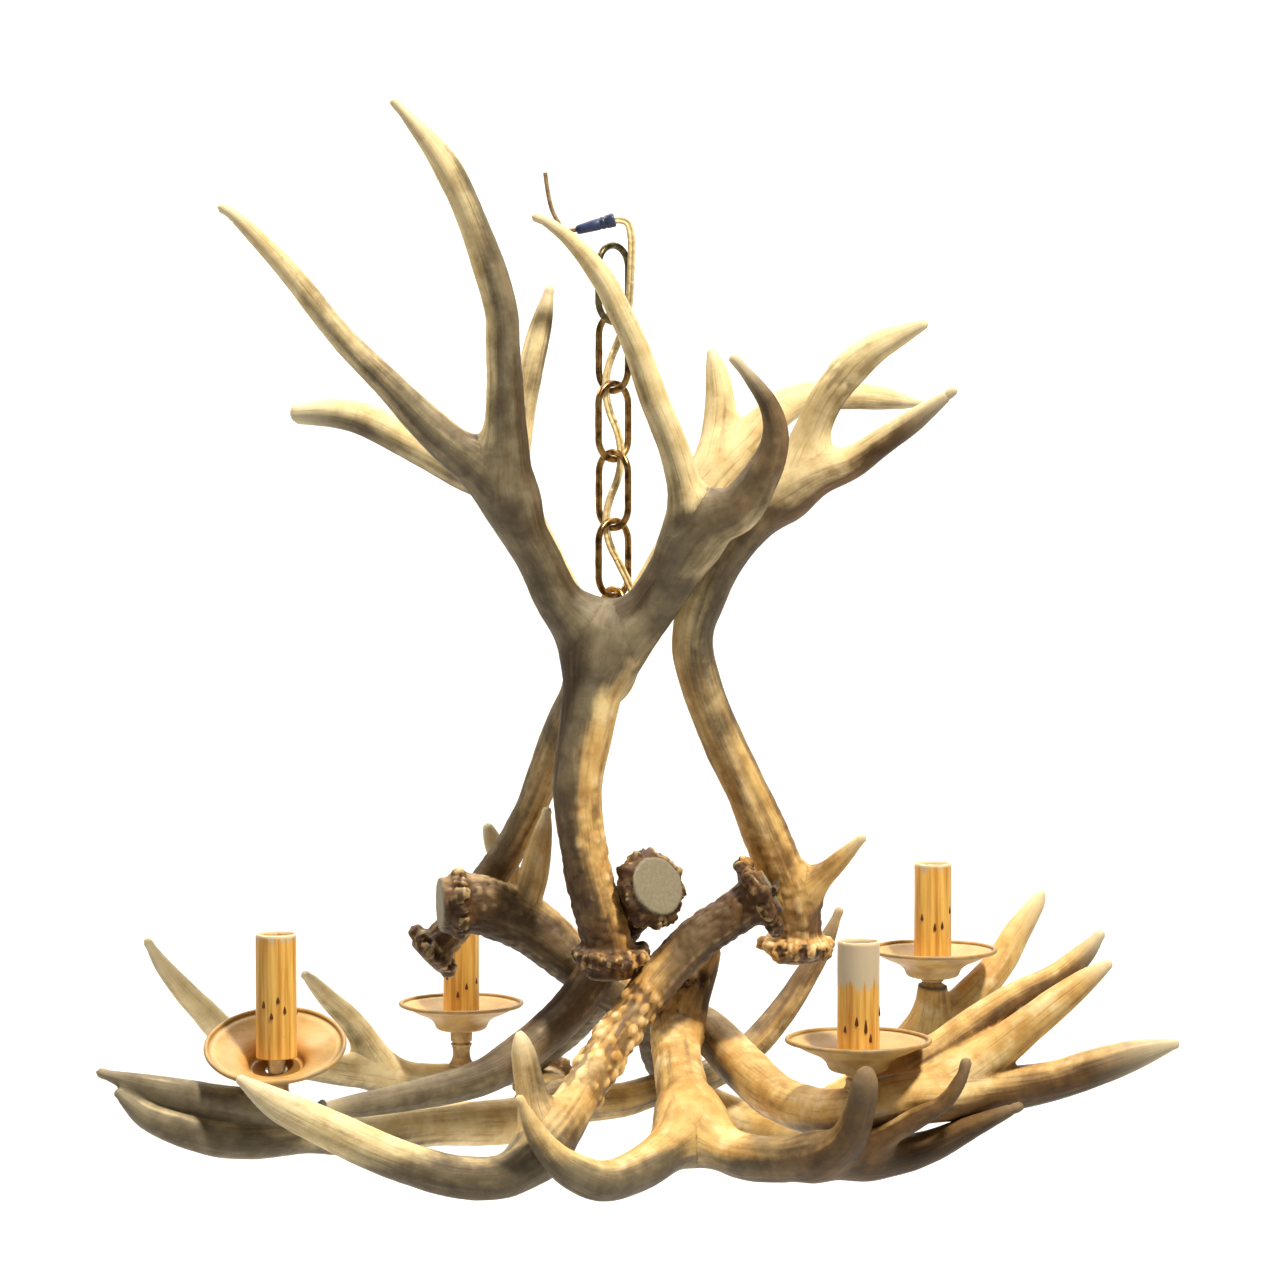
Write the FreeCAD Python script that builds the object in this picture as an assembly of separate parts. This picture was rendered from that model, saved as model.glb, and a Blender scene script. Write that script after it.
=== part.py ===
"""Antler chandelier: three upright and seven low deer antlers pinned together round a centre,
four candle lights standing on the low ones, and a chain with a thin flex that it hangs from.

Millimetres. +Z up, +X right and -Y towards the viewer. The origin is the hang point, the inside of
the top link's upper bend. Antler points are given from the foot of the chain and dropped by its
length, so a longer chain only lowers them.
"""
import FreeCAD, Part
import math
import os

V = FreeCAD.Vector
UP = V(0, 0, 1)
TOUCH_GAP = 0.15          # glue line left where one antler is notched to sit on another
DOWEL_WIDTH = 5.0         # steel dowel where two antlers touch
DOWEL_LENGTH = 28.0
DOWEL_GAP = 0.05
RUN_GAP = 0.3             # air between curved faces of pieces that move on each other

# ---- chain -----------------------------------------------------------------------------------
LINK_COUNT = 5
LINK_WIRE = 4.0           # wire thickness
LINK_LENGTH = 48.0        # over the wire
LINK_WIDTH = 28.0         # over the wire
EYE_WIRE = 4.0
EYE_RING = 16.0           # mean diameter of the screw eye's ring
EYE_SHANK = 34.0          # from the ring down into the antler
EYE_NECK = 5.0            # shank above the antler's seat
EYE_HOLE_GAP = 0.1
EYE_COLLAR = 1.5

LINK_BEND = LINK_LENGTH / 2 - LINK_WIRE / 2        # link centre to the wire centre of a bend
TOP_CENTRE = -(LINK_LENGTH / 2 - LINK_WIRE)        # centre of the top link under the hang point


def link_centre(index):
    """Height of the centre of link 0 (top) to LINK_COUNT - 1 (bottom)."""
    return TOP_CENTRE - index * (LINK_LENGTH - 2 * LINK_WIRE - RUN_GAP)


LOWEST_BEND = link_centre(LINK_COUNT - 1) - LINK_BEND          # wire centre
EYE_TOP = LOWEST_BEND + LINK_WIRE / 2 + EYE_WIRE / 2 + RUN_GAP  # ring wire centre
EYE_CENTRE = EYE_TOP - EYE_RING / 2
FOOT = LOWEST_BEND + 0.9                                         # antler points count from here
BALANCE = -2.0            # shift of the antlers and lights to the left, so that they hang level
EYE_SEAT = EYE_CENTRE - EYE_RING / 2 - EYE_WIRE / 2 - EYE_NECK

# ---- flex ---------------------------------------------------------------------------------------
FLEX_WIDTH = 4.6
FLEX_SWING = 8.8          # how far the flex passes beside each junction of the links
FLEX_BEND = 14.0          # largest bend radius of the weave
FLEX_HOLE_GAP = 0.4
CONNECTOR_LONG = 23.0
CONNECTOR_WIDE = 8.4
CONNECTOR_NARROW = 5.4
CONNECTOR_START = V(1, -12, 16)          # end where the flex goes in
CONNECTOR_WAY = V(-22, 1, -6)
TAIL_WIDTH = 2.6
SOCKET_DEPTH = 5.0
TAIL_POINTS = [(-31, -10, 13), (-37, -10, 25), (-39, -10, 43)]
FLEX_FOOT = [(9.5, 0.0, 7.0), (17.0, 5.0, -13.0)]      # over the foot: bend, and end in the antler

# ---- candle lights -----------------------------------------------------------------------------
SLEEVE_OUT = 23.4
SLEEVE_BORE = 20.8
SLEEVE_LENGTH = 70.0
PAN_RIM = 80.0            # over the rolled lip
PAN_DEPTH = 17.0          # rim centre line to the underside of the cup
PAN_SHEET = 1.4
PAN_HOLE = 12.6
PAN_LIP = 2.6
PAN_FOOT = 26.0           # flat ring the pan stands on, underneath
NIPPLE_OUT = 10.0
NIPPLE_BORE = 6.4
NIPPLE_IN_ANTLER = 11.0
NIPPLE_IN_HOLDER = 8.0
STEM_WIDTH = 14.0
STEM_GROOVE = 1.4
FIT_GAP = 0.1             # radial, round the nipple
NUT_FLATS = 15.0
NUT_HEIGHT = 3.0
HOLDER_WIDTH = 19.4
HOLDER_HEIGHT = 58.0
HOLDER_BORE = 15.0
HOLDER_BORE_DEPTH = 34.0
SHELL_WALL = 0.5
SHELL_HEIGHT = 22.0
SHELL_GAP = 0.1
BULB_THREAD = 12.4        # bore of the screw shell
CONTACT_WIDTH = 6.0
CONTACT_HEIGHT = 3.0
SEAT_WIDTH = 17.0         # flat filed on the antler under each stem
SEAT_CLEAR = 14.0         # headroom cut over the flat

# name: (x, y, height of the flat over the foot, stem height, lean of the pan, rise of the holder)
CANDLES = {
    "front_right": (136 + BALANCE, -139, -264.5, 10.5, 0.0, 0.0),
    "front_left": (-187 + BALANCE, -74, -279.0, 11.0, 23.0, 6.5),
    "rear_right": (199 + BALANCE, 129, -252.5, 10.5, 0.0, 0.0),
    "rear_left": (-97 + BALANCE, 194, -308.5, 23.0, 0.0, 0.0),
}
CARRIER = {"front_right": "antler_low_right", "front_left": "antler_low_cross",
           "rear_right": "antler_low_back_right", "rear_left": "antler_low_back_left"}

# ---- antlers: (x, y, z over the foot, width) along each limb -------------------------------------
UPRIGHT_FRONT = {
    "beam": [(1, -30, -218, 29), (0, -31, -204, 29), (-8, -32, -175, 28), (-15, -32, -146, 27),
             (-18, -33, -111, 28), (-13, -32, -73, 31), (-8, -31, -45, 35), (-4, -30, -25, 41)],
    "left": [(-5, -29, -33, 32), (-16, -32, -16, 31), (-29, -37, -1, 26), (-40, -42, 22, 25),
             (-50, -48, 41, 27), (-57, -54, 64, 29), (-58, -60, 89, 25), (-58, -66, 112, 21),
             (-59, -71, 140, 19), (-60, -74, 161, 19), (-66, -78, 184, 19), (-78, -84, 216, 16),
             (-88, -88, 237, 16), (-99, -91, 253, 12), (-118, -94, 275, 4)],
    "tine_outer_left": [(-55, -53, 55, 24), (-80, -58, 78, 23), (-103, -65, 99, 20),
                        (-124, -73, 121, 16), (-149, -82, 147, 14), (-175, -92, 180, 12),
                        (-202, -101, 209, 8), (-212, -103, 216, 4)],
    "right": [(-3, -29, -33, 31), (17, -32, -14, 30), (33, -38, 8, 30), (46, -46, 30, 31),
              (58, -53, 44, 29), (73, -56, 51, 26), (83, -60, 65, 21), (91, -65, 81, 17),
              (93, -69, 95, 14), (89, -73, 109, 11), (80, -76, 122, 8), (69, -79, 135, 4)],
    "tine_over_chain": [(46, -48, 33, 25), (44, -54, 53, 22), (41, -58, 68, 19), (35, -64, 88, 17),
                        (25, -71, 112, 16), (16, -77, 138, 15), (7, -82, 158, 14), (-4, -85, 179, 13),
                        (-20, -89, 198, 9), (-34, -90, 209, 6), (-41, -91, 212, 3)],
}
UPRIGHT_BACK = {
    "beam": [(-111, 44, -218, 23), (-100, 45, -207, 22), (-83, 44, -186, 21), (-63, 40, -157, 20),
             (-54, 38, -141, 19), (-46, 34, -125, 19), (-38, 28, -104, 20), (-26, 15, -76, 23),
             (-14, 5, -56, 27), (-6, -1, -42, 29)],
    "left": [(-6, 1, -48, 25), (-20, 4, -20, 26), (-34, 6, 10, 25), (-50, 6, 40, 26), (-64, 7, 62, 25),
             (-85, 9, 72, 23), (-105, 13, 83, 22), (-126, 19, 94, 21), (-144, 24, 102, 19),
             (-162, 29, 106, 17), (-182, 34, 106, 13)],
    "tine_inner_left": [(-58, 6, 55, 19), (-55, 9, 84, 18), (-51, 13, 108, 16), (-47, 15, 128, 15),
                        (-43, 18, 146, 14), (-39, 20, 162, 11), (-35, 21, 180, 4)],
    "right": [(-2, 1, -46, 25), (14, 3, -18, 24), (29, 6, 10, 24), (43, 8, 36, 24), (55, 10, 60, 23),
              (79, 14, 86, 21), (97, 18, 106, 20), (115, 23, 115, 18), (141, 30, 116, 16),
              (159, 35, 115, 14), (174, 39, 113, 9), (183, 41, 112, 4)],
    "tine_inner_right": [(47, 8, 43, 20), (55, 11, 67, 19), (60, 13, 83, 18), (63, 16, 99, 18),
                         (64, 18, 114, 17), (62, 20, 130, 13), (59, 21, 142, 5)],
}
UPRIGHT_RIGHT = {
    "beam": [(109, 15, -215, 28), (109, 14, -207, 28), (108, 10, -186, 28), (98, 6, -158, 27),
             (90, 5, -138, 26), (80, 3, -115, 25), (67, 1, -88, 25), (56, -6, -61, 24),
             (49, -12, -37, 24), (48, -17, -20, 24), (53, -21, -1, 27), (62, -24, 19, 28),
             (76, -25, 38, 28), (95, -27, 55, 28), (116, -31, 68, 24), (138, -32, 77, 19),
             (154, -37, 88, 16), (173, -43, 101, 13), (189, -48, 113, 7), (195, -49, 118, 3)],
    "tine_upper": [(101, -26, 58, 23), (109, -29, 79, 22), (117, -32, 98, 20), (125, -36, 115, 20),
                   (137, -40, 130, 20), (150, -44, 141, 17), (165, -47, 149, 12), (178, -51, 155, 6)],
    "brow_tine": [(106, 8, -181, 17), (118, 4, -170, 15), (134, -1, -154, 11), (147, -6, -140, 5)],
}
LOW_RIDGED = {
    "beam": [(94, -18, -170, 27), (85, -19, -175, 27), (69, -22, -185, 25), (51, -25, -197, 25),
             (35, -30, -212, 25), (20, -38, -229, 25), (0, -59, -254, 25), (-16, -90, -276, 24),
             (-29, -118, -293, 25), (-42, -127, -305, 26), (-59, -130, -314, 24), (-85, -132, -313, 23),
             (-116, -131, -304, 22), (-151, -128, -289, 21), (-181, -125, -275, 17),
             (-202, -124, -261, 5)],
    "tine_near": [(-37, -122, -302, 19), (-41, -117, -282, 17), (-44, -113, -264, 16),
                  (-47, -112, -248, 13), (-49, -111, -238, 5)],
}
LOW_FRONT = {
    "beam": [(34, 13, -222, 23), (36, 12, -236, 25), (38, 4, -254, 28), (39, -23, -269, 28),
             (42, -55, -283, 30), (46, -83, -298, 32)],
    "brow_tine": [(41, -1, -253, 18), (49, 6, -237, 16), (56, 11, -222, 13), (61, 12, -210, 8)],
    "left": [(46, -78, -293, 27), (31, -101, -306, 25), (13, -119, -314, 23), (-4, -130, -316, 22),
             (-21, -138, -308, 20), (-33, -143, -296, 15), (-42, -146, -281, 10), (-48, -148, -267, 4)],
    "right": [(45, -74, -290, 27), (66, -100, -305, 25), (90, -127, -305, 25), (112, -146, -300, 23),
              (128, -161, -288, 20), (135, -172, -269, 16), (137, -177, -254, 14),
              (138, -179, -247, 6)],
    "tine_far": [(115, -143, -299, 19), (135, -140, -302, 21), (153, -136, -302, 21),
                 (175, -136, -296, 18), (196, -141, -285, 13), (217, -144, -275, 7),
                 (224, -144, -272, 4)],
    "tine_curved": [(138, -141, -299, 15), (151, -151, -287, 12), (166, -156, -277, 12),
                    (181, -157, -268, 9), (190, -158, -255, 7), (193, -158, -245, 3)],
}
LOW_LEFT = {
    "beam": [(28, -38, -165, 34), (20, -27, -171, 30), (10, -11, -186, 26), (-2, 8, -206, 24),
             (-12, 9, -227, 24), (-24, 2, -243, 24), (-41, -12, -257, 23), (-56, -25, -267, 23),
             (-75, -38, -276, 21), (-110, -57, -282, 17), (-145, -70, -286, 13), (-170, -77, -288, 5)],
}
LOW_BACK_LEFT = {
    "beam": [(4, 69, -216, 25), (2, 72, -225, 25), (-12, 91, -250, 24), (-38, 129, -283, 22),
             (-65, 164, -306, 20), (-99, 195, -317, 19), (-135, 190, -315, 19), (-171, 165, -307, 19),
             (-210, 141, -294, 19), (-238, 124, -277, 18), (-252, 112, -260, 16), (-264, 104, -245, 14),
             (-275, 96, -229, 10), (-283, 90, -214, 4)],
    "tine_far": [(-144, 185, -313, 17), (-155, 177, -293, 17), (-166, 167, -275, 15),
                 (-179, 158, -260, 12), (-189, 150, -247, 8), (-193, 148, -243, 4)],
    "brow_tine": [(-13, 94, -243, 18), (-39, 83, -208, 16), (-58, 76, -177, 14), (-69, 71, -156, 13),
                  (-74, 68, -143, 7)],
}
LOW_RIGHT = {
    "beam": [(-100, 9, -182, 31), (-92, 11, -182, 32), (-76, 17, -183, 34), (-48, 29, -197, 33),
             (-23, 32, -217, 29), (6, 37, -239, 27), (32, 35, -251, 26), (56, 26, -258, 26),
             (75, -8, -272, 27), (95, -57, -283, 26), (115, -102, -283, 26), (135, -134, -277, 27),
             (158, -139, -270, 29), (191, -131, -268, 28), (218, -126, -266, 25), (243, -126, -262, 22),
             (268, -126, -254, 20), (292, -126, -246, 15), (311, -126, -241, 5)],
    "tine_upper": [(142, -132, -276, 24), (162, -121, -259, 21), (188, -112, -244, 22),
                   (221, -105, -223, 21), (246, -101, -210, 17), (263, -99, -196, 12),
                   (273, -98, -184, 5)],
    "tine_middle": [(173, -132, -269, 26), (205, -127, -250, 24), (227, -127, -233, 20),
                    (246, -126, -218, 17), (263, -125, -205, 12), (274, -125, -197, 5)],
    "brow_tine": [(-53, 25, -189, 17), (-46, 22, -168, 17), (-42, 18, -150, 15), (-39, 16, -137, 10),
                  (-37, 15, -126, 4)],
}
LOW_BACK_RIGHT = {
    "beam": [(22, 55, -226, 26), (23, 58, -233, 26), (27, 70, -260, 26), (33, 89, -288, 25),
             (49, 99, -311, 24), (74, 109, -325, 24), (104, 119, -331, 24), (134, 127, -323, 24),
             (166, 132, -304, 26), (188, 135, -286, 26), (209, 140, -270, 24), (226, 148, -255, 22),
             (243, 158, -238, 20), (255, 163, -219, 17), (267, 164, -201, 11), (271, 164, -193, 4)],
    "candle_tine": [(192, 135, -287, 22), (197, 131, -267, 20), (199, 128, -247, 18)],
}
LOW_CROSS = {
    "beam": [(-44, 178, -320, 27), (-42, 168, -319, 28), (-36, 118, -314, 27), (-28, 77, -310, 27),
             (-31, 41, -307, 28)],
    "left": [(-24, 46, -305, 24), (-58, 9, -309, 26), (-103, -26, -305, 25), (-146, -54, -305, 24),
             (-170, -67, -302, 24), (-200, -78, -303, 22), (-226, -88, -299, 21), (-254, -92, -289, 16),
             (-267, -92, -280, 10), (-274, -92, -274, 4)],
    "tine_upper": [(-157, -60, -303, 20), (-188, -76, -287, 20), (-227, -87, -278, 17),
                   (-260, -88, -271, 13), (-285, -86, -264, 4)],
    "right": [(-37, 38, -307, 22), (-7, 45, -305, 21), (10, 52, -304, 20), (30, 65, -300, 19),
              (56, 79, -296, 19), (82, 93, -283, 18), (104, 106, -261, 17), (119, 114, -240, 15),
              (132, 120, -219, 11), (141, 123, -199, 4)],
}
ANTLERS = {
    "antler_upright_front": UPRIGHT_FRONT,
    "antler_upright_back": UPRIGHT_BACK,
    "antler_upright_right": UPRIGHT_RIGHT,
    "antler_low_ridged": LOW_RIDGED,
    "antler_low_front": LOW_FRONT,
    "antler_low_left": LOW_LEFT,
    "antler_low_right": LOW_RIGHT,
    "antler_low_back_left": LOW_BACK_LEFT,
    "antler_low_back_right": LOW_BACK_RIGHT,
    "antler_low_cross": LOW_CROSS,
}
# burr: (distance up the beam from its cut end, ring width, ring thickness, knob count, knob width)
BURRS = {
    "antler_upright_front": (12, 42, 10, 13, 8.0),
    "antler_upright_back": (7, 34, 9, 10, 8.5),
    "antler_upright_right": (9, 40, 10, 12, 9.0),
    "antler_low_ridged": (9, 46, 9, 11, 9.5),
    "antler_low_front": (6, 33, 7, 11, 6.0),
    "antler_low_left": (8, 43, 9, 12, 9.0),
    "antler_low_right": (11, 38, 9, 13, 7.0),
    "antler_low_back_left": (8, 38, 8, 12, 7.0),
    "antler_low_back_right": (8, 38, 8, 12, 7.0),
    "antler_low_cross": (8, 42, 8, 12, 7.0),
}


# ---- antler building ----------------------------------------------------------------------------
def spot(point):
    """An antler point in the part's frame."""
    return V(point[0] + BALANCE, point[1], point[2] + FOOT)


def smoothed(points):
    """Centre points and radii along a limb: its own points and one eased point in each gap."""
    places = [spot(p) for p in points]
    radii = [p[3] / 2 for p in points]
    out = []
    last = len(places) - 1
    for i in range(last):
        before, after = places[max(i - 1, 0)], places[min(i + 2, last)]
        a, b = places[i], places[i + 1]
        out.append((a, radii[i]))
        middle = (a + b) * 0.5625 - (before + after) * 0.0625
        out.append((middle, (radii[i] + radii[i + 1]) / 2))
    out.append((places[last], radii[last]))
    return out


def limb(points, grow=0.0, blunt=False):
    """One tapered limb: a loft through round sections, with a domed tip unless it is cut blunt."""
    line = smoothed(points)
    if not blunt:
        (end, radius), (near, _) = line[-1], line[-2]
        way = (end - near).normalize()
        for along, share in ((0.5, 0.86), (0.85, 0.52), (1.0, 0.2)):
            line.append((end + way * radius * along, radius * share))
    wires = []
    side = V(0, 1, 0)
    for i, (place, radius) in enumerate(line):
        ahead = line[min(i + 1, len(line) - 1)][0]
        behind = line[max(i - 1, 0)][0]
        way = (ahead - behind).normalize()
        side = (side - way * way.dot(side)).normalize()
        wires.append(ring_wire(place, way, side, radius + grow))
    return Part.makeLoft(wires, True, False)


def ring_wire(place, way, side, radius):
    """A circle whose start lies along side, so that neighbouring sections don't twist."""
    placement = FreeCAD.Placement(place, FreeCAD.Rotation(side, way.cross(side), way, "ZXY"))
    circle = Part.makeCircle(radius)
    circle.Placement = placement
    return Part.Wire([circle])


def beam_end(points, distance):
    """The point on the beam's line at a distance from its cut end, and the way to that end."""
    first, second = spot(points[0]), spot(points[1])
    out = (first - second).normalize()
    return first - out * distance, out


def burr_ring(points, data, grow=0.0):
    """The rounded disc of a burr, and its placement on the beam."""
    distance, width, thick, _, _ = data
    centre, out = beam_end(points, distance)
    half, top = thick / 2 + grow, width / 2 + grow
    flat = top - half
    edges = [Part.LineSegment(V(0, 0, -half), V(flat, 0, -half)).toShape(),
             Part.Arc(V(flat, 0, -half), V(top, 0, 0), V(flat, 0, half)).toShape(),
             Part.LineSegment(V(flat, 0, half), V(0, 0, half)).toShape(),
             Part.LineSegment(V(0, 0, half), V(0, 0, -half)).toShape()]
    ring = Part.Face(Part.Wire(edges)).revolve(V(), UP, 360)
    ring.Placement = FreeCAD.Placement(centre, FreeCAD.Rotation(UP, out))
    return ring


def knob(points, data, index, turn, grow=0.0):
    """Knob number index of a burr, turned round the ring by a small angle."""
    distance, width, thick, count, size = data
    centre, out = beam_end(points, distance)
    angle = 2 * math.pi * index / count + turn
    radius = size / 2 * (0.85 + 0.3 * math.sin(2.4 * index + width))
    away = width / 2 - 0.35 * radius
    place = V(away * math.cos(angle), away * math.sin(angle), 0.22 * thick * math.sin(4.1 * index))
    return Part.makeSphere(radius + grow, centre + FreeCAD.Rotation(UP, out).multVec(place))


def whole(shape):
    return shape.isValid() and len(shape.Solids) == 1


def antler(name):
    """One antler as one solid: its limbs, then its burr ring and the knobs on that."""
    limbs, data = ANTLERS[name], BURRS[name]
    shapes = [limb(points, blunt=is_cut(limbs, key)) for key, points in limbs.items()]
    solid = shapes[0]
    for shape in shapes[1:] + [burr_ring(limbs["beam"], data)]:
        solid = solid.fuse(shape)
    for turn in (0.0, 0.05, -0.05, 0.1):
        together = solid.fuse([knob(limbs["beam"], data, i, turn) for i in range(data[3])])
        if whole(together):
            return together.Solids[0]
    for index in range(data[3]):
        # a knob that would meet a seam of the beam edge to edge is turned a little round the ring
        for turn in (0.0, 0.07, -0.07, 0.15):
            grown = solid.fuse(knob(limbs["beam"], data, index, turn))
            if whole(grown):
                solid = grown
                break
    return solid.Solids[0]


def is_cut(limbs, key):
    """True for a limb that ends flat: a beam that ends inside its fork, or a sawn-off tine."""
    return key == "candle_tine" or (key == "beam" and limbs[key][-1][3] > 20)


def close_set(points):
    """A limb's line as close-set centre points with radii."""
    line, out = smoothed(points), []
    for (a, ra), (b, rb) in zip(line, line[1:]):
        for step in range(4):
            share = step / 4
            out.append((a + (b - a) * share, ra + (rb - ra) * share))
    return out


def skin_gap(first, second):
    """The least gap between two lists of centre points with radii: gap, points and radii."""
    best = None
    for a, ra in first:
        for b, rb in second:
            gap = (b - a).Length - ra - rb
            if best is None or gap < best[0]:
                best = (gap, a, b, ra)
    return best


# ---- chain, screw eye and flex -------------------------------------------------------------------
def plane_turn(index):
    """Links stand 45 degrees either way off the front view, each across the one above."""
    return 45.0 if index % 2 == 0 else -45.0


def chain_link(index):
    bend = (LINK_WIDTH - LINK_WIRE) / 2
    straight = LINK_LENGTH / 2 - LINK_WIRE / 2 - bend
    section = Part.Face(Part.Wire([Part.makeCircle(LINK_WIRE / 2, V(bend, 0, straight), UP)]))
    upper = section.revolve(V(0, 0, straight), V(0, -1, 0), 180)
    lower = upper.mirror(V(), UP)
    link = upper.fuse(lower)
    for side in (-bend, bend):
        link = link.fuse(Part.makeCylinder(LINK_WIRE / 2, 2 * straight, V(side, 0, -straight), UP))
    link = link.removeSplitter()
    link.rotate(V(), UP, plane_turn(index))
    link.translate(V(0, 0, link_centre(index)))
    return link.Solids[0]


def screw_eye():
    ring = Part.makeTorus(EYE_RING / 2, EYE_WIRE / 2, V(), V(0, 1, 0))
    shank = Part.makeCylinder(EYE_WIRE / 2, EYE_NECK + EYE_SHANK, V(0, 0, -EYE_RING / 2), UP * -1)
    collar = Part.makeCylinder(EYE_WIRE, EYE_COLLAR, V(0, 0, EYE_SEAT - EYE_CENTRE), UP)
    eye = ring.fuse(shank).fuse(collar)
    eye.rotate(V(), UP, plane_turn(LINK_COUNT))
    eye.translate(V(0, 0, EYE_CENTRE))
    return eye.Solids[0]


def eye_hole():
    """The flat seat, the room round the ring and the hole for the shank."""
    room = Part.makeCylinder(EYE_RING / 2 + EYE_WIRE, 60, V(0, 0, EYE_SEAT), UP)
    hole = Part.makeCylinder(EYE_WIRE / 2 + EYE_HOLE_GAP, EYE_SHANK + 2,
                             V(0, 0, EYE_SEAT - EYE_SHANK - 2), UP)
    return room.fuse(hole)


def flex_points():
    """From the hole in the back upright, from side to side through the links, to the connector."""
    points = [V(x, y, z + FOOT) for x, y, z in reversed(FLEX_FOOT)]
    side = -1
    for index in range(LINK_COUNT - 1, 0, -1):
        level = (link_centre(index) + link_centre(index - 1)) / 2
        points.append(V(side * FLEX_SWING, 0, level))
        side = -side
    way = V(CONNECTOR_WAY).normalize()
    points[-1] = V(FLEX_SWING, -1, points[-1].z)
    points += [V(10, -9, -18), V(11, -13, 6), CONNECTOR_START - way * 7,
               CONNECTOR_START + way * SOCKET_DEPTH]
    return points


def rounded_path(points, largest):
    """Straight runs joined by tangent arcs, and the radii of those arcs."""
    edges, radii = [], []
    start = points[0]
    for before, corner, after in zip(points, points[1:], points[2:]):
        into, out = (corner - before), (after - corner)
        half = into.getAngle(out) / 2
        radius = min(0.45 * min(into.Length, out.Length) / math.tan(half), largest)
        cut = radius * math.tan(half)
        first = corner - into.normalize() * cut
        last = corner + out.normalize() * cut
        inward = (first + last) * 0.5 - corner
        middle = corner + inward.normalize() * (radius / math.cos(half) - radius)
        edges.append(Part.LineSegment(start, first).toShape())
        edges.append(Part.Arc(first, middle, last).toShape())
        radii.append(radius)
        start = last
    edges.append(Part.LineSegment(start, points[-1]).toShape())
    return Part.Wire(edges), radii


def cord(points, width, largest):
    path, radii = rounded_path(points, largest)
    way = (points[1] - points[0]).normalize()
    section = Part.Wire([Part.makeCircle(width / 2, points[0], way)])
    tube = path.makePipeShell([section], True, False)
    expected = math.pi * width * width / 4 * path.Length
    print("cord: length %.0f, least bend %.1f, volume / expected %.4f"
          % (path.Length, min(radii), tube.Volume / expected))
    return tube


def connector():
    way = V(CONNECTOR_WAY).normalize()
    body = Part.makeCone(CONNECTOR_WIDE / 2, CONNECTOR_NARROW / 2, CONNECTOR_LONG,
                         CONNECTOR_START, way)
    for width, place, turn in ((FLEX_WIDTH, CONNECTOR_START, 1),
                               (TAIL_WIDTH, CONNECTOR_START + way * CONNECTOR_LONG, -1)):
        body = body.cut(Part.makeCylinder(width / 2 + 0.05, SOCKET_DEPTH + 0.1, place, way * turn))
    return body


def tail_points():
    way = V(CONNECTOR_WAY).normalize()
    start = CONNECTOR_START + way * (CONNECTOR_LONG - SOCKET_DEPTH)
    return [start, start + way * 10] + [V(*p) for p in TAIL_POINTS]


# ---- candle lights --------------------------------------------------------------------------------
def pan_lift(lean):
    """A leaning pan stands on the front edge of the stem, so its middle is raised."""
    return STEM_WIDTH / 2 * math.sin(math.radians(lean))


def pan_under(candle):
    """The middle of the pan's cup, underneath."""
    x, y, seat, stem_height, lean, _ = candle
    return V(x, y, FOOT + seat + stem_height + pan_lift(lean))


def cup_floor(candle):
    return pan_under(candle) + UP * PAN_SHEET


def drip_pan(candle):
    rim = PAN_RIM / 2 - PAN_LIP / 2
    under = [(PAN_FOOT / 2, 0.0), (PAN_FOOT / 2 + 3, 1.4), (18.0, 5.4), (22.0, 8.6), (30.0, 12.0),
             (rim, PAN_DEPTH)]
    inside = []
    for i, (r, z) in enumerate(under):
        before, after = under[max(i - 1, 0)], under[min(i + 1, len(under) - 1)]
        run, rise = after[0] - before[0], after[1] - before[1]
        length = math.hypot(run, rise)
        if i == 0:
            run, rise, length = 1.0, 0.0, 1.0
        inside.append((r - rise / length * PAN_SHEET, z + run / length * PAN_SHEET))
    lower, upper = Part.BSplineCurve(), Part.BSplineCurve()
    lower.interpolate([V(r, 0, z) for r, z in under])
    upper.interpolate([V(r, 0, z) for r, z in inside])
    hole = PAN_HOLE / 2
    a, b = V(hole, 0, 0), V(hole, 0, PAN_SHEET)
    edges = [Part.LineSegment(a, V(under[0][0], 0, 0)).toShape(), lower.toShape(),
             Part.LineSegment(V(rim, 0, PAN_DEPTH), V(inside[-1][0], 0, inside[-1][1])).toShape(),
             upper.toShape(), Part.LineSegment(V(inside[0][0], 0, PAN_SHEET), b).toShape(),
             Part.LineSegment(b, a).toShape()]
    pan = Part.Face(Part.Wire(Part.sortEdges(edges)[0])).revolve(V(), UP, 360)
    pan = pan.fuse(Part.makeTorus(rim, PAN_LIP / 2, V(0, 0, PAN_DEPTH), UP))
    pan.rotate(V(), V(1, 0, 0), candle[4])
    pan.translate(pan_under(candle))
    return pan.Solids[0]


def ring_solid(profile):
    """A turned piece from (radius, height) corners."""
    corners = [V(r, 0, z) for r, z in profile]
    return Part.Face(Part.makePolygon(corners + corners[:1])).revolve(V(), UP, 360)


def stem(candle):
    x, y, seat, height = candle[:4]
    bore, out = NIPPLE_OUT / 2 + FIT_GAP, STEM_WIDTH / 2
    groove = height * 0.62
    turned = ring_solid([(bore, 0), (out + 1, 0), (out + 1, 1.5), (out, 3), (out, groove),
                         (out - STEM_GROOVE, groove + 0.8), (out, groove + 1.6),
                         (out, height - 1), (out - 0.8, height), (bore, height)])
    turned.translate(V(x, y, FOOT + seat))
    return turned


def nipple(candle):
    x, y, seat, _, _, rise = candle
    low = FOOT + seat - NIPPLE_IN_ANTLER
    high = cup_floor(candle).z + rise + NUT_HEIGHT + NIPPLE_IN_HOLDER
    tube = Part.makeCylinder(NIPPLE_OUT / 2, high - low, V(x, y, low), UP)
    return tube.cut(Part.makeCylinder(NIPPLE_BORE / 2, high - low, V(x, y, low), UP))


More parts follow.
